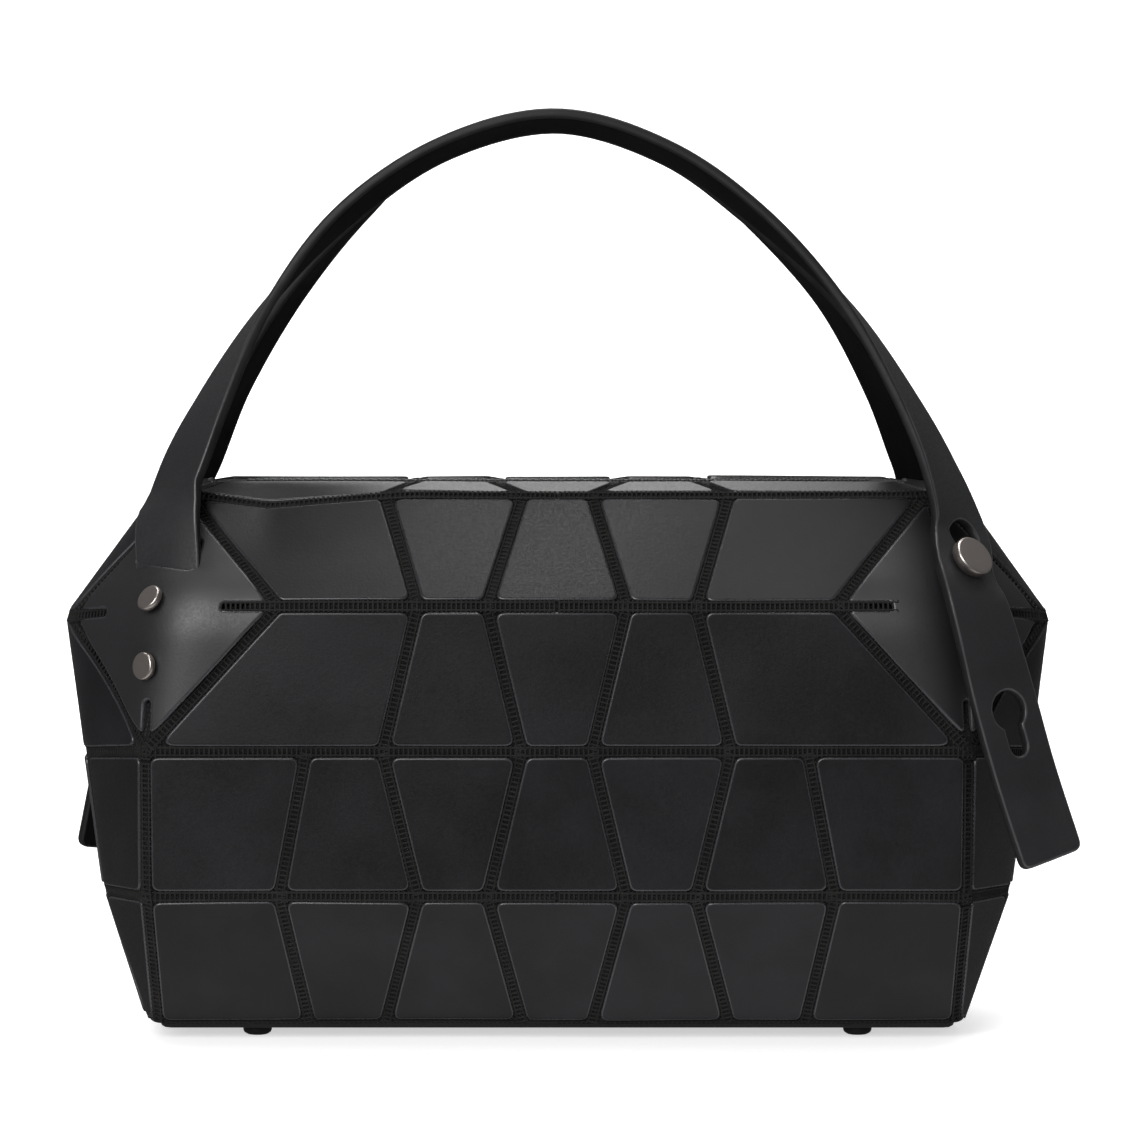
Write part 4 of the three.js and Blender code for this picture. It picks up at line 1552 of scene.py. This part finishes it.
@dataclass
class CornerPatches:
    """The four smooth corner patches, each slit at its tips; two have a slot for a handle."""

    wall: BodyWall
    groove: float = 3.3
    gap: float = 0.9
    thick: float = 1.6
    edge: float = 0.7
    spacing: float = 2.6
    slit_width: float = 2.4
    slit_shares: tuple[float, ...] = (0.42, 0.33, 0.42, 0.3)
    slit_points: int = 9
    end_cut: float = 2.4
    tip_radius: float = 1.0
    tip_steps: int = 4
    tip_turn: float = 0.7
    slot_radius: float = 1.5
    slot_front: float = 9.4
    slot_end: float = 11.4
    slot_low: float = 0.335
    slot_high: float = 0.56
    slot_slant: float = 1.9
    smoothing: float = 0.22
    drawn_out: float = 9.0
    smooth_steps: int = 7
    probe: float = 0.5

    def build(self) -> list[bpy.types.Object]:
        """Builds the patches.

        Returns:
            The fixed and stud patch of the front, then of the back.
        """
        sheet = PATCH_VINYL.build()
        # Edges and rims take the paler colour, a painted highlight.
        edge_highlight = PAINTED_EDGE_HIGHLIGHT.build()
        finishes = [sheet, edge_highlight, sheet, edge_highlight]
        pieces: list[bpy.types.Object] = []
        for name, turn in (("front", 1), ("back", -1)):
            for kind, quarter in (("fixed", FRONT_LEFT), ("stud", FRONT_RIGHT)):
                corner = (quarter[0] * turn, quarter[1] * turn)
                shape = self.patch(corner, kind == "fixed")
                pieces.append(mesh_object(f"patch_{kind}_{name}_skin", [shape], finishes))
        return pieces

    def patch(self, quarter: tuple[int, int], slotted: bool) -> Shape:
        """Builds one patch.

        Args:
            quarter: Signs of x and y of its corner.
            slotted: Whether a handle goes through it.

        Returns:
            The patch.
        """
        front, end = self.wall.patch_reach()
        below, above = self.wall.row_height(HIGH - 1), self.wall.row_height(HIGH)
        reaches = (front, below, end - self.end_cut, above)
        headings = np.array([[-1, 0], [0, -1], [1, 0], [0, 1]], dtype=float)
        tips = inset(headings * np.array(reaches)[:, None], self.groove / 2)
        half = self.slit_width / 2
        outline: list[np.ndarray] = []
        for index, (reach, heading) in enumerate(zip(reaches, headings)):
            aside = np.array([-heading[1], heading[0]])
            before, after = tips[index - 1] - tips[index], tips[(index + 1) % 4] - tips[index]
            outline.append(tips[index] + before * half / abs(before @ aside))
            depth = heading * reach * (1 - self.slit_shares[index])
            for angle in np.linspace(-math.pi / 2, math.pi / 2, self.slit_points):
                outline.append(depth + half * (aside * math.sin(angle) - heading * math.cos(angle)))
            outline.append(tips[index] + after * half / abs(after @ aside))
        loops = [Outline(np.array(outline), self.tip_radius, self.tip_steps, self.tip_turn)]
        if slotted:
            low, high, slant = self.slot_low * above, self.slot_high * above, self.slot_slant
            left, right = -self.slot_front, self.slot_end
            slot = np.array([[left, low - slant], [left, high], [right, high], [right, low + slant]])
            loops.append(Outline(slot, self.slot_radius))

        def place(flat: np.ndarray) -> tuple[np.ndarray, np.ndarray]:
            """Places flat points of the patch over the bend of the wall.

            Args:
                flat: Points in the patch's own plane.

            Returns:
                Points and normals.
            """
            aside, rise = [self.probe, 0.0], [0.0, self.probe]
            across = self.smooth(flat + aside, quarter) - self.smooth(flat - aside, quarter)
            up = self.smooth(flat + rise, quarter) - self.smooth(flat - rise, quarter)
            return self.smooth(flat, quarter), outward_normals(across, up, quarter)

        return panel(loops, place, self.gap, self.gap + self.thick, self.edge, self.spacing)

    def smooth(self, flat: np.ndarray, quarter: tuple[int, int]) -> np.ndarray:
        """Gives the patch's seat, with the wall's fold drawn out to a soft bend.

        Args:
            flat: Flat points of the patch.
            quarter: Signs of x and y of its corner.

        Returns:
            Points of the seat.
        """
        below, above = self.wall.row_height(HIGH - 1), self.wall.row_height(HIGH)
        levels = HIGH + np.where(flat[:, 1] < 0, flat[:, 1] / below, flat[:, 1] / above)
        total = np.zeros((len(flat), 3))
        shares = np.linspace(-1, 1, self.smooth_steps)
        for share in shares:
            shifted = np.clip(levels + self.smoothing * share, HIGH - 1, TOP)
            corner = self.wall.section(shifted).corner + flat[:, 0]
            for aside in shares:
                total += self.wall.points(shifted, corner + self.drawn_out * aside, quarter)
        return total / len(shares) ** 2

    def dress(self, pieces: Sequence[bpy.types.Object]) -> None:
        """Ties each patch to the part in place of its solid."""
        for piece in pieces:
            settle(piece, [piece.name.removesuffix("_skin")])


class Lift(Enum):
    """Height of a handle's middle over the wall, in millimetres."""

    BEHIND = -1.2
    OUTSIDE = 5.5
    OVER_FOLD = 6.7


# Columns: across, up, lift, bend, turn of the face to the end wall
ANCHOR_PLACES = (
    (0.0, -0.55, Lift.BEHIND, 0.06, 0.0),
    (0.0, -0.25, Lift.BEHIND, 0.06, 0.0),
    (0.0, 0.26, Lift.BEHIND, 0.05, 0.04),
    (0.0, 0.7, Lift.OVER_FOLD, 0.02, 0.15),
)
STUD_PLACES = (
    (0.08, 0.6, Lift.OUTSIDE, 0.006, 0.1),
    (0.01, 0.28, Lift.OUTSIDE, 0.006, 0.1),
    (0.0, 0.0, Lift.OVER_FOLD, 0.006, -0.1),
)
# Columns: x, y, z, turn of the face to the back, bend
FRONT_ARCH = (
    (-110.0, -28.5, 163.0, -0.60, 0.008),
    (-101.0, -23.5, 183.5, -0.42, 0.002),
    (-85.0, -18.5, 212.5, -0.06, 0.0),
    (-62.5, -15.0, 239.0, 0.20, 0.0),
    (-33.0, -12.5, 259.0, 0.20, 0.0),
    (0.0, -12.0, 267.0, 0.20, 0.0),
    (32.5, -12.5, 257.5, 0.20, 0.0),
    (59.5, -15.0, 238.5, 0.18, 0.0),
    (84.0, -18.5, 213.5, -0.04, 0.0),
    (101.5, -24.0, 186.0, -0.26, 0.002),
    (111.0, -29.0, 166.5, -0.43, 0.008),
)
BACK_ARCH = (
    (-108.0, -28.5, 163.0, -0.54, 0.008),
    (-99.0, -23.5, 183.5, -0.40, 0.002),
    (-81.0, -18.5, 212.5, -0.17, 0.0),
    (-54.5, -15.0, 239.0, 0.03, 0.0),
    (-31.5, -12.5, 257.0, 0.17, 0.0),
    (0.0, -12.0, 266.5, 0.20, 0.0),
    (33.0, -12.5, 258.5, 0.20, 0.0),
    (58.5, -15.0, 238.5, -0.03, 0.0),
    (80.0, -18.5, 213.5, -0.17, 0.0),
    (96.5, -24.0, 186.0, -0.22, 0.002),
    (106.0, -29.0, 166.5, -0.36, 0.008),
)
# Columns: x, y, z
FRONT_TAIL = ((126.9, -54.6, 105.0), (133.6, -56.4, 81.0), (140.9, -58.2, 58.5))
BACK_TAIL = ((127.0, -54.0, 100.0), (132.5, -55.0, 73.0), (138.0, -56.0, 46.0))
TAIL_FACE = (0.54, -0.82, 0.2)
TAIL_BEND = 0.01


def spline(stations: np.ndarray, t: np.ndarray, even: bool) -> np.ndarray:
    """Runs a smooth curve through stations.

    Args:
        stations: Values at the stations.
        t: Places from 0 at the first station to 1 at the last.
        even: Whether the stations count as evenly spaced.

    Returns:
        Values on the curve.
    """
    ends = [2 * stations[0] - stations[1]], [2 * stations[-1] - stations[-2]]
    padded = np.concatenate([ends[0], stations, ends[1]])
    at = np.clip(t, 0, 1) * (len(stations) - 1)
    index = np.minimum(at.astype(int), len(stations) - 2)
    p0, p1, p2, p3 = (padded[index + i] for i in range(4))
    w = (at - index)[:, None]
    if even:
        out, back = (p2 - p0) / 2, (p3 - p1) / 2
    else:
        d0, d1, d2 = (
            np.maximum(np.linalg.norm(b - a, axis=1, keepdims=True), LEAST_STEP) ** 0.5
            for a, b in ((p0, p1), (p1, p2), (p2, p3))
        )
        out = d1 * ((p1 - p0) / d0 - (p2 - p0) / (d0 + d1) + (p2 - p1) / d1)
        back = d1 * ((p2 - p1) / d1 - (p3 - p1) / (d1 + d2) + (p3 - p2) / d2)
    cubic = 2 * p1 - 2 * p2 + out + back
    square = -3 * p1 + 3 * p2 - 2 * out - back
    return p1 + out * w + square * w * w + cubic * w ** 3


@dataclass
class Handle:
    """A leather strap, fixed at one end and buttoned over a stud at the other."""

    wall: BodyWall
    name: str
    arch: tuple[tuple[float, ...], ...]
    tail: tuple[tuple[float, ...], ...]
    on_back: bool
    width: float = 22.0
    thick: float = 3.0
    edge: float = 0.75
    tip: float = 2.6
    tip_radius: float = 3.0
    spacing: float = 3.2
    hole_radius: float = 5.6
    hole_slot_radius: float = 3.0
    hole_rise: float = 10.5
    hole_pitch: float = 56.0
    hole_points: int = 25
    hole_slot_points: int = 9
    arch_centre: float = 150.0
    run_steps: int = 800
    least_bend: float = 1e-6
    probe: float = 1e-3
    points: np.ndarray = field(init=False)
    faces: np.ndarray = field(init=False)
    bends: np.ndarray = field(init=False)
    run: np.ndarray = field(init=False)

    def __post_init__(self) -> None:
        """Collects the stations and measures the run along them."""
        points: list[np.ndarray] = []
        faces: list[np.ndarray] = []
        bends: list[float] = []
        for spot in ANCHOR_PLACES:
            self.add_lifted(points, faces, bends, spot, FRONT_LEFT)
        for x, y, z, face_y, bend in self.arch:
            outward = unit(np.array([x, 0, z - self.arch_centre])) * math.sqrt(1 - face_y ** 2)
            points.append(np.array([x, y, z]))
            faces.append(outward + [0, face_y, 0])
            bends.append(bend)
        for spot in STUD_PLACES:
            self.add_lifted(points, faces, bends, spot, FRONT_RIGHT)
        for station in self.tail:
            points.append(np.array(station))
            faces.append(np.array(TAIL_FACE))
            bends.append(TAIL_BEND)
        self.points, self.faces, self.bends = np.array(points), np.array(faces), np.array(bends)
        line = spline(self.points, np.linspace(0, 1, self.run_steps + 1), even=False)
        self.run = np.concatenate([[0], np.cumsum(np.linalg.norm(np.diff(line, axis=0), axis=1))])

    def add_lifted(
        self, points: list[np.ndarray], faces: list[np.ndarray], bends: list[float],
        spot: tuple[float, float, Lift, float, float], quarter: tuple[int, int],
    ) -> None:
        """Adds a station over a corner patch.

        Args:
            points: Stations so far.
            faces: Face directions so far.
            bends: Bends so far.
            spot: Place across and up the patch, height over the wall, bend, and turn to the end wall.
            quarter: Signs of x and y of the patch's corner.
        """
        across, up, lift, bend, turn = spot
        point, normal = self.wall.patch_place(across, up, quarter)
        points.append(point + normal * lift.value)
        faces.append(unit(normal + np.array([quarter[0] * turn, 0.0, 0.0])))
        bends.append(bend)

    def place(self, flat: np.ndarray) -> tuple[np.ndarray, np.ndarray]:
        """Places flat points of the strap, x along it and y across, on its run.

        Args:
            flat: Flat points.

        Returns:
            Points of the strap's middle layer and their normals.
        """
        t = np.interp(flat[:, 0], self.run, np.linspace(0, 1, len(self.run)))
        past = np.maximum(flat[:, 0] - self.run[-1], 0)[:, None]
        ahead, behind = np.clip(t + self.probe, 0, 1), np.clip(t - self.probe, 0, 1)
        tangent = unit(spline(self.points, ahead, False) - spline(self.points, behind, False))
        face = spline(self.faces, t, True)
        face = unit(face - tangent * (face * tangent).sum(axis=1, keepdims=True))
        aside = np.cross(tangent, face)
        bend = np.interp(t, np.linspace(0, 1, len(self.bends)), self.bends)
        bend = np.maximum(bend, self.least_bend)[:, None]
        curl = np.maximum(flat[:, 1:2], 0) * bend
        centre = spline(self.points, t, False) + tangent * past
        across = np.minimum(flat[:, 1:2], 0) + np.sin(curl) / bend
        points = centre + aside * across - face * (1 - np.cos(curl)) / bend
        return points, face * np.cos(curl) + aside * np.sin(curl)

    def keyhole(self, at: float) -> np.ndarray:
        """Outlines a keyhole, clockwise.

        Args:
            at: Distance of its narrow end along the strap.

        Returns:
            The outline.
        """
        side = math.asin(self.hole_slot_radius / self.hole_radius)
        around: list[tuple[float, float]] = []
        for centre, radius, first, last, count in (
            (at - self.hole_rise, self.hole_radius, side, 2 * math.pi - side, self.hole_points),
            (at, self.hole_slot_radius, -math.pi / 2, math.pi / 2, self.hole_slot_points),
        ):
            for angle in np.linspace(first, last, count):
                around.append((centre + radius * math.cos(angle), radius * math.sin(angle)))
        return np.array(around)[::-1]

    def build(self) -> list[bpy.types.Object]:
        """Builds the handle.

        Returns:
            The handle as one piece.
        """
        length, half = self.run[-1] + self.tip, self.width / 2
        outline = np.array([[0, -half], [length, -half], [length, half], [0, half]])
        stud_t = (len(ANCHOR_PLACES) + len(self.arch) + 1) / (len(self.points) - 1)
        stud_at = float(np.interp(stud_t, np.linspace(0, 1, len(self.run)), self.run))
        holes = [Outline(self.keyhole(at)) for at in (stud_at, stud_at + self.hole_pitch)]
        loops = [Outline(outline, self.tip_radius), *holes]
        shape = panel(
            loops, self.place, -self.thick / 2, self.thick / 2, self.edge, self.spacing, both=True,
        )
        if self.on_back:
            shape.points = half_turn(shape.points)
        # The rim takes a paler colour, a painted highlight.
        finishes = [f.build() for f in (STRAP_LEATHER, EDGE_PAINT, STRAP_LINING, PAINTED_RIM_HIGHLIGHT)]
        return [mesh_object(self.name + "_strap", [shape], finishes)]

    def dress(self, pieces: Sequence[bpy.types.Object]) -> None:
        """Ties the handle to the part in place of its solid."""
        settle(pieces[0], [self.name])


# Columns: distance in from the rim, distance down from the face
RIVET_RIM = ((0.0, 0.45), (0.06, 0.3), (0.22, 0.09), (0.4, 0.02), (0.65, 0.0))
STUD_RIM = ((0.0, 0.55), (0.08, 0.36), (0.3, 0.1), (0.5, 0.02), (0.8, 0.0))
# Columns: share of the radius, height
FOOT_PROFILE = ((0.5, 0.0), (0.72, 0.06), (0.9, 0.5), (0.98, 1.0), (1.0, 1.5))
# A direction that no fitting's axis follows; it sets how the copies are turned about their axes
ASLANT = (0.31, 0.87, 0.39)

@dataclass
class Fittings:
    """Rivets, studs and feet: turned pieces that repeat."""

    wall: BodyWall
    seat: float = 2.5
    shank_depth: float = 1.5
    shank_radius: float = 1.3
    crown_share: float = 0.4
    crown: tuple[float, float] = (0.03, 0.04)
    rivet_radius: float = 4.0
    rivet_height: float = 1.8
    rivet_under: float = 0.1
    rivet_bevel: float = 0.15
    rivet_places: tuple[float, ...] = (0.04, -0.41)
    stud_radius: float = 6.2
    stud_height: float = 3.2
    stud_neck: float = 2.4
    stud_bevel: float = 0.3
    stud_place: tuple[float, float] = (0.01, 0.28)
    stud_gap: float = 5.7
    foot_radius: float = 4.2
    foot_top: float = 2.8
    foot_place: tuple[float, float] = (88.0, 25.0)
    sides: int = 48

    def build(self) -> list[bpy.types.Object]:
        """Builds the fittings.

        Returns:
            The rivets, the studs and the feet.
        """
        metal = BLACK_NICKEL.build()
        rivets = [self.wall.patch_place(0.0, up, FRONT_LEFT) for up in self.rivet_places]
        studs = [self.wall.patch_place(*self.stud_place, FRONT_RIGHT)]
        x, y = self.foot_place
        upright = np.array([0.0, 0.0, 1.0])
        feet = [(np.array([side * x, -y, 0.0]), upright) for side in (-1, 1)]
        return [
            self.repeat("rivets", self.rivet(), rivets, metal),
            self.repeat("studs", self.stud(), studs, metal),
            self.repeat("feet", self.foot(), feet, FOOT_RUBBER.build()),
        ]

    def head_face(
        self, radius: float, top: float, rim: Sequence[tuple[float, float]],
    ) -> list[tuple[float, float]]:
        """Gives the bevelled rim and the barely crowned face of a head.

        Args:
            radius: Radius of the head.
            top: Height of its face.
            rim: Distances in from the rim and down from the face.

        Returns:
            Profile from the side of the head to its middle.
        """
        shoulder, middle = self.crown
        profile = [(radius - inwards, top - down) for inwards, down in rim]
        return [*profile, (radius * self.crown_share, top + shoulder), (0, top + middle)]

    def rivet(self) -> Shape:
        """Gives a rivet: a shank and a flat cap with a bevelled rim.

        Returns:
            The rivet.
        """
        low, under, radius = self.seat - self.shank_depth, self.seat - self.rivet_under, self.rivet_radius
        profile = [
            (0, low), (self.shank_radius, low), (self.shank_radius, under),
            (radius - self.rivet_bevel, under), (radius, self.seat + self.rivet_under),
        ]
        face = self.head_face(radius, self.seat + self.rivet_height, RIVET_RIM)
        return turned([*profile, *face], self.sides)

    def stud(self) -> Shape:
        """Gives a stud: a neck and a wide flat head with a bevelled rim.

        Returns:
            The stud.
        """
        low, head, radius = self.seat - self.shank_depth, self.seat + self.stud_gap, self.stud_radius
        profile = [
            (0, low), (self.stud_neck, low), (self.stud_neck, head),
            (radius - self.stud_bevel, head), (radius, head + self.stud_bevel),
        ]
        face = self.head_face(radius, head + self.stud_height, STUD_RIM)
        return turned([*profile, *face], self.sides)

    def foot(self) -> Shape:
        """Gives a low rounded foot.

        Returns:
            The foot.
        """
        side = [(self.foot_radius * share, height) for share, height in FOOT_PROFILE]
        top = [(self.foot_radius, self.foot_top), (0, self.foot_top)]
        return turned([(0, 0), *side, *top], self.sides)

    @staticmethod
    def repeat(
        name: str,
        shape: Shape,
        places: Sequence[tuple[np.ndarray, np.ndarray]],
        finish: bpy.types.Material,
    ) -> bpy.types.Object:
        """Sets a fitting at its places on the front, and half a turn from them on the back.

        Args:
            name: Name of the piece.
            shape: The fitting.
            places: Points and axes on the front.
            finish: Its material.

        Returns:
            All copies as one piece.
        """
        points = np.array([point for point, _ in places])
        axes = np.array([axis for _, axis in places])
        points = np.concatenate([points, half_turn(points)])
        axes = np.concatenate([axes, half_turn(axes)])
        headings = unit(np.cross(np.array(ASLANT), axes))
        return Repeater(name).build(shape, points, axes, headings, finish)

    def dress(self, pieces: Sequence[bpy.types.Object]) -> None:
        """Ties the fittings to the part in place of their solids.

        Args:
            pieces: The rivets, the studs and the feet.
        """
        ends = ("front", "back")
        rivets, studs, feet = pieces
        settle(rivets, [f"rivet_{level}_{end}" for level in ("upper", "lower") for end in ends])
        settle(studs, [f"stud_{end}" for end in ends])
        settle(feet, [f"foot_{end}_{side}" for end in ends for side in ("left", "right")])


# Columns: share of the section, height, of a tooth of unit size
TOOTH_LEVELS = ((1.0, -0.5), (1.0, 0.35), (0.8, 0.5))

@dataclass
class ZipClosure:
    """The closed zip in the mouth: a tape that fills it and a chain of teeth."""

    wall: BodyWall
    tape_thick: float = 1.2
    tape_edge: float = 0.3
    spacing: float = 6.0
    clearance: float = 0.3
    chain_half: float = 92.0
    pitch: float = 2.4
    tooth: tuple[float, float, float] = (1.5, 3.4, 2.2)
    tooth_reach: float = 0.75
    tooth_radius: float = 0.2
    tooth_steps: int = 2

    def build(self) -> list[bpy.types.Object]:
        """Builds the tape and the teeth.

        Returns:
            The two pieces.
        """
        return [self.build_tape(), self.build_teeth()]

    def build_tape(self) -> bpy.types.Object:
        """Builds the tape that fills the mouth.

        Returns:
            The tape.
        """
        quarter = self.wall.section(np.array([float(RIM)])).flat[0]
        loop = inset(self.wall.around(quarter), self.clearance)
        place = level_place(self.wall.folds[RIM].z, 1.0)
        shape = panel([Outline(loop)], place, -self.tape_thick, 0.0, self.tape_edge, self.spacing)
        return mesh_object("zip_tape", [shape], [ZIP_TAPE.build()])

    def build_teeth(self) -> bpy.types.Object:
        """Builds the teeth, which reach over the middle from one side and the other in turn.

        Returns:
            The teeth as one piece.
        """
        count = int(2 * self.chain_half / (self.pitch / 2))
        x = (np.arange(count) - (count - 1) / 2) * self.pitch / 2
        side = np.where(np.arange(count) % 2 == 0, 1.0, -1.0)
        top = self.wall.folds[RIM].z
        points = np.stack([x, side * self.tooth_reach, np.full(count, top - self.tape_thick / 2)], axis=1)
        axes = np.tile([0.0, 0.0, 1.0], (count, 1))
        headings = np.tile([1.0, 0.0, 0.0], (count, 1))
        square = np.array([[-0.5, -0.5], [0.5, -0.5], [0.5, 0.5], [-0.5, 0.5]])
        loop = round_off(square, self.tooth_radius, self.tooth_steps)
        levels = [np.insert(loop * share, 2, z, axis=1) for share, z in TOOTH_LEVELS]
        faces = capped_faces(len(loop), len(levels))
        shape = Shape(np.concatenate(levels), faces, [Side.FACE] * len(faces)).outward()
        return Repeater("zip_teeth").build(shape, points, axes, headings, ZIP_TEETH.build(), self.tooth)

    def dress(self, pieces: Sequence[bpy.types.Object]) -> None:
        """Ties the zip to the part in place of its solid."""
        settle(pieces[0], ["zip_closure"])
        settle(pieces[1])


@dataclass
class BasePanel:
    """The panel under the body, with softened edges."""

    wall: BodyWall
    thick: float = 1.6
    gap: float = 0.3
    margin: float = 3.0
    corner_step: float = 4.0
    edge: float = 0.5
    spacing: float = 10.0

    def build(self) -> list[bpy.types.Object]:
        """Builds the panel.

        Returns:
            The panel as one piece.
        """
        quarter = self.wall.section(np.array([0.0])).flat[0]
        spaced: list[np.ndarray] = [quarter[0]]
        for point in quarter[1:]:
            if np.linalg.norm(point - spaced[-1]) > self.corner_step:
                spaced.append(point)
        loop = inset(self.wall.around(np.array(spaced)), self.margin)
        place = level_place(self.wall.folds[0].z - self.gap, -1.0)
        shape = panel([Outline(loop)], place, 0.0, self.thick, self.edge, self.spacing)
        return [mesh_object("base_panel_skin", [shape], [PATCH_VINYL.build()])]

    def dress(self, pieces: Sequence[bpy.types.Object]) -> None:
        """Ties the panel to the part in place of its solid."""
        settle(pieces[0], ["base_panel"])


# The studio

@dataclass(frozen=True)
class SoftBox:
    """A large soft lamp that faces a point."""

    name: str
    at: tuple[float, float, float]
    towards: tuple[float, float, float]
    width: float
    height: float
    power: float

    def build(self) -> None:
        """Adds the lamp to the scene."""
        lamp = bpy.data.lights.new(self.name, "AREA")
        lamp.shape = "RECTANGLE"
        lamp.size = self.width
        lamp.size_y = self.height
        lamp.energy = self.power
        holder = bpy.data.objects.new(self.name, lamp)
        holder.visible_camera = False
        holder.location = self.at
        holder.rotation_euler = (Vector(self.towards) - Vector(self.at)).to_track_quat("-Z", "Y").to_euler()
        bpy.context.scene.collection.objects.link(holder)


# Columns: name, place, point that it faces, width and height in metres, power in watts
LAMPS = (
    SoftBox("top_lamp", (0.0, -0.05, 0.72), (0.0, -0.03, 0.15), 0.12, 0.3, 0.95),
    SoftBox("left_lamp", (-0.62, -1.43, 0.85), (-0.05, 0.0, 0.12), 0.9, 1.1, 20.0),
    SoftBox("back_lamp", (0.0, 1.35, 0.75), (0.0, 0.0, 0.15), 0.3, 0.5, 1.4),
    SoftBox("card_lamp", (-0.04, -0.095, 0.004), (-0.04, -0.095, 1.0), 0.5, 0.11, 0.08),
    SoftBox("backdrop_lamp", (0.0, 0.7, 2.2), (0.0, 2.6, 0.6), 2.4, 0.8, 60.0),
)

@dataclass
class Studio:
    """A pale floor that curves up into a backdrop, soft lamps and the camera."""

    camera_at: tuple[float, float, float] = (0.00486, -1.5471, 0.2685)
    camera_pitch: float = 85.0
    lens: float = 164.5
    half_width: float = 12.0
    floor_front: float = -12.0
    floor_back: float = 1.6
    cove: float = 1.2
    cove_steps: int = 12
    wall_top: float = 4.0
    ambient: float = 0.12

    def build(self) -> None:
        """Builds floor, lamps, surroundings and camera."""
        self.build_floor()
        for lamp in LAMPS:
            lamp.build()
        world = bpy.data.worlds.new("studio")
        world.use_nodes = True
        back = world.node_tree.nodes["Background"]
        back.inputs["Color"].default_value = (1.0, 1.0, 1.0, 1.0)
        back.inputs["Strength"].default_value = self.ambient
        bpy.context.scene.world = world
        bpy.context.scene.view_settings.view_transform = "Standard"
        self.build_camera()

    def build_floor(self) -> None:
        """Builds the floor with its cove."""
        profile = [(self.floor_front, 0.0), (self.floor_back, 0.0)]
        for angle in np.linspace(0, math.pi / 2, self.cove_steps + 1)[1:]:
            profile.append((self.floor_back + self.cove * math.sin(angle), self.cove * (1 - math.cos(angle))))
        profile.append((self.floor_back + self.cove, self.wall_top))
        points = [(x, y, z) for y, z in profile for x in (-self.half_width, self.half_width)]
        faces = [(2 * i, 2 * i + 1, 2 * i + 3, 2 * i + 2) for i in range(len(profile) - 1)]
        mesh = bpy.data.meshes.new("floor")
        mesh.from_pydata(points, [], faces)
        mesh.materials.append(STUDIO_FLOOR.build())
        mesh.polygons.foreach_set("use_smooth", [True] * len(faces))
        floor = bpy.data.objects.new("floor", mesh)
        floor.visible_glossy = False
        bpy.context.scene.collection.objects.link(floor)

    def build_camera(self) -> None:
        """Builds the camera at the photograph's viewing angle."""
        lens = bpy.data.cameras.new("camera")
        lens.lens = self.lens
        lens.sensor_fit = "HORIZONTAL"
        camera = bpy.data.objects.new("camera", lens)
        camera.location = self.camera_at
        camera.rotation_euler = (math.radians(self.camera_pitch), 0.0, 0.0)
        bpy.context.scene.collection.objects.link(camera)
        bpy.context.scene.camera = camera


def main() -> None:
    """Builds the studio and the bag's parts in order."""
    logging.basicConfig(level=logging.INFO, format="%(message)s")
    Studio().build()
    wall = BodyWall()
    for part in (
        MeshBody(wall), PlateSet(wall), CornerPatches(wall),
        Handle(wall, "handle_front", FRONT_ARCH, FRONT_TAIL, False),
        Handle(wall, "handle_back", BACK_ARCH, BACK_TAIL, True),
        Fittings(wall), ZipClosure(wall), BasePanel(wall),
    ):
        part.dress(part.build())


if __name__ == "__main__":
    main()
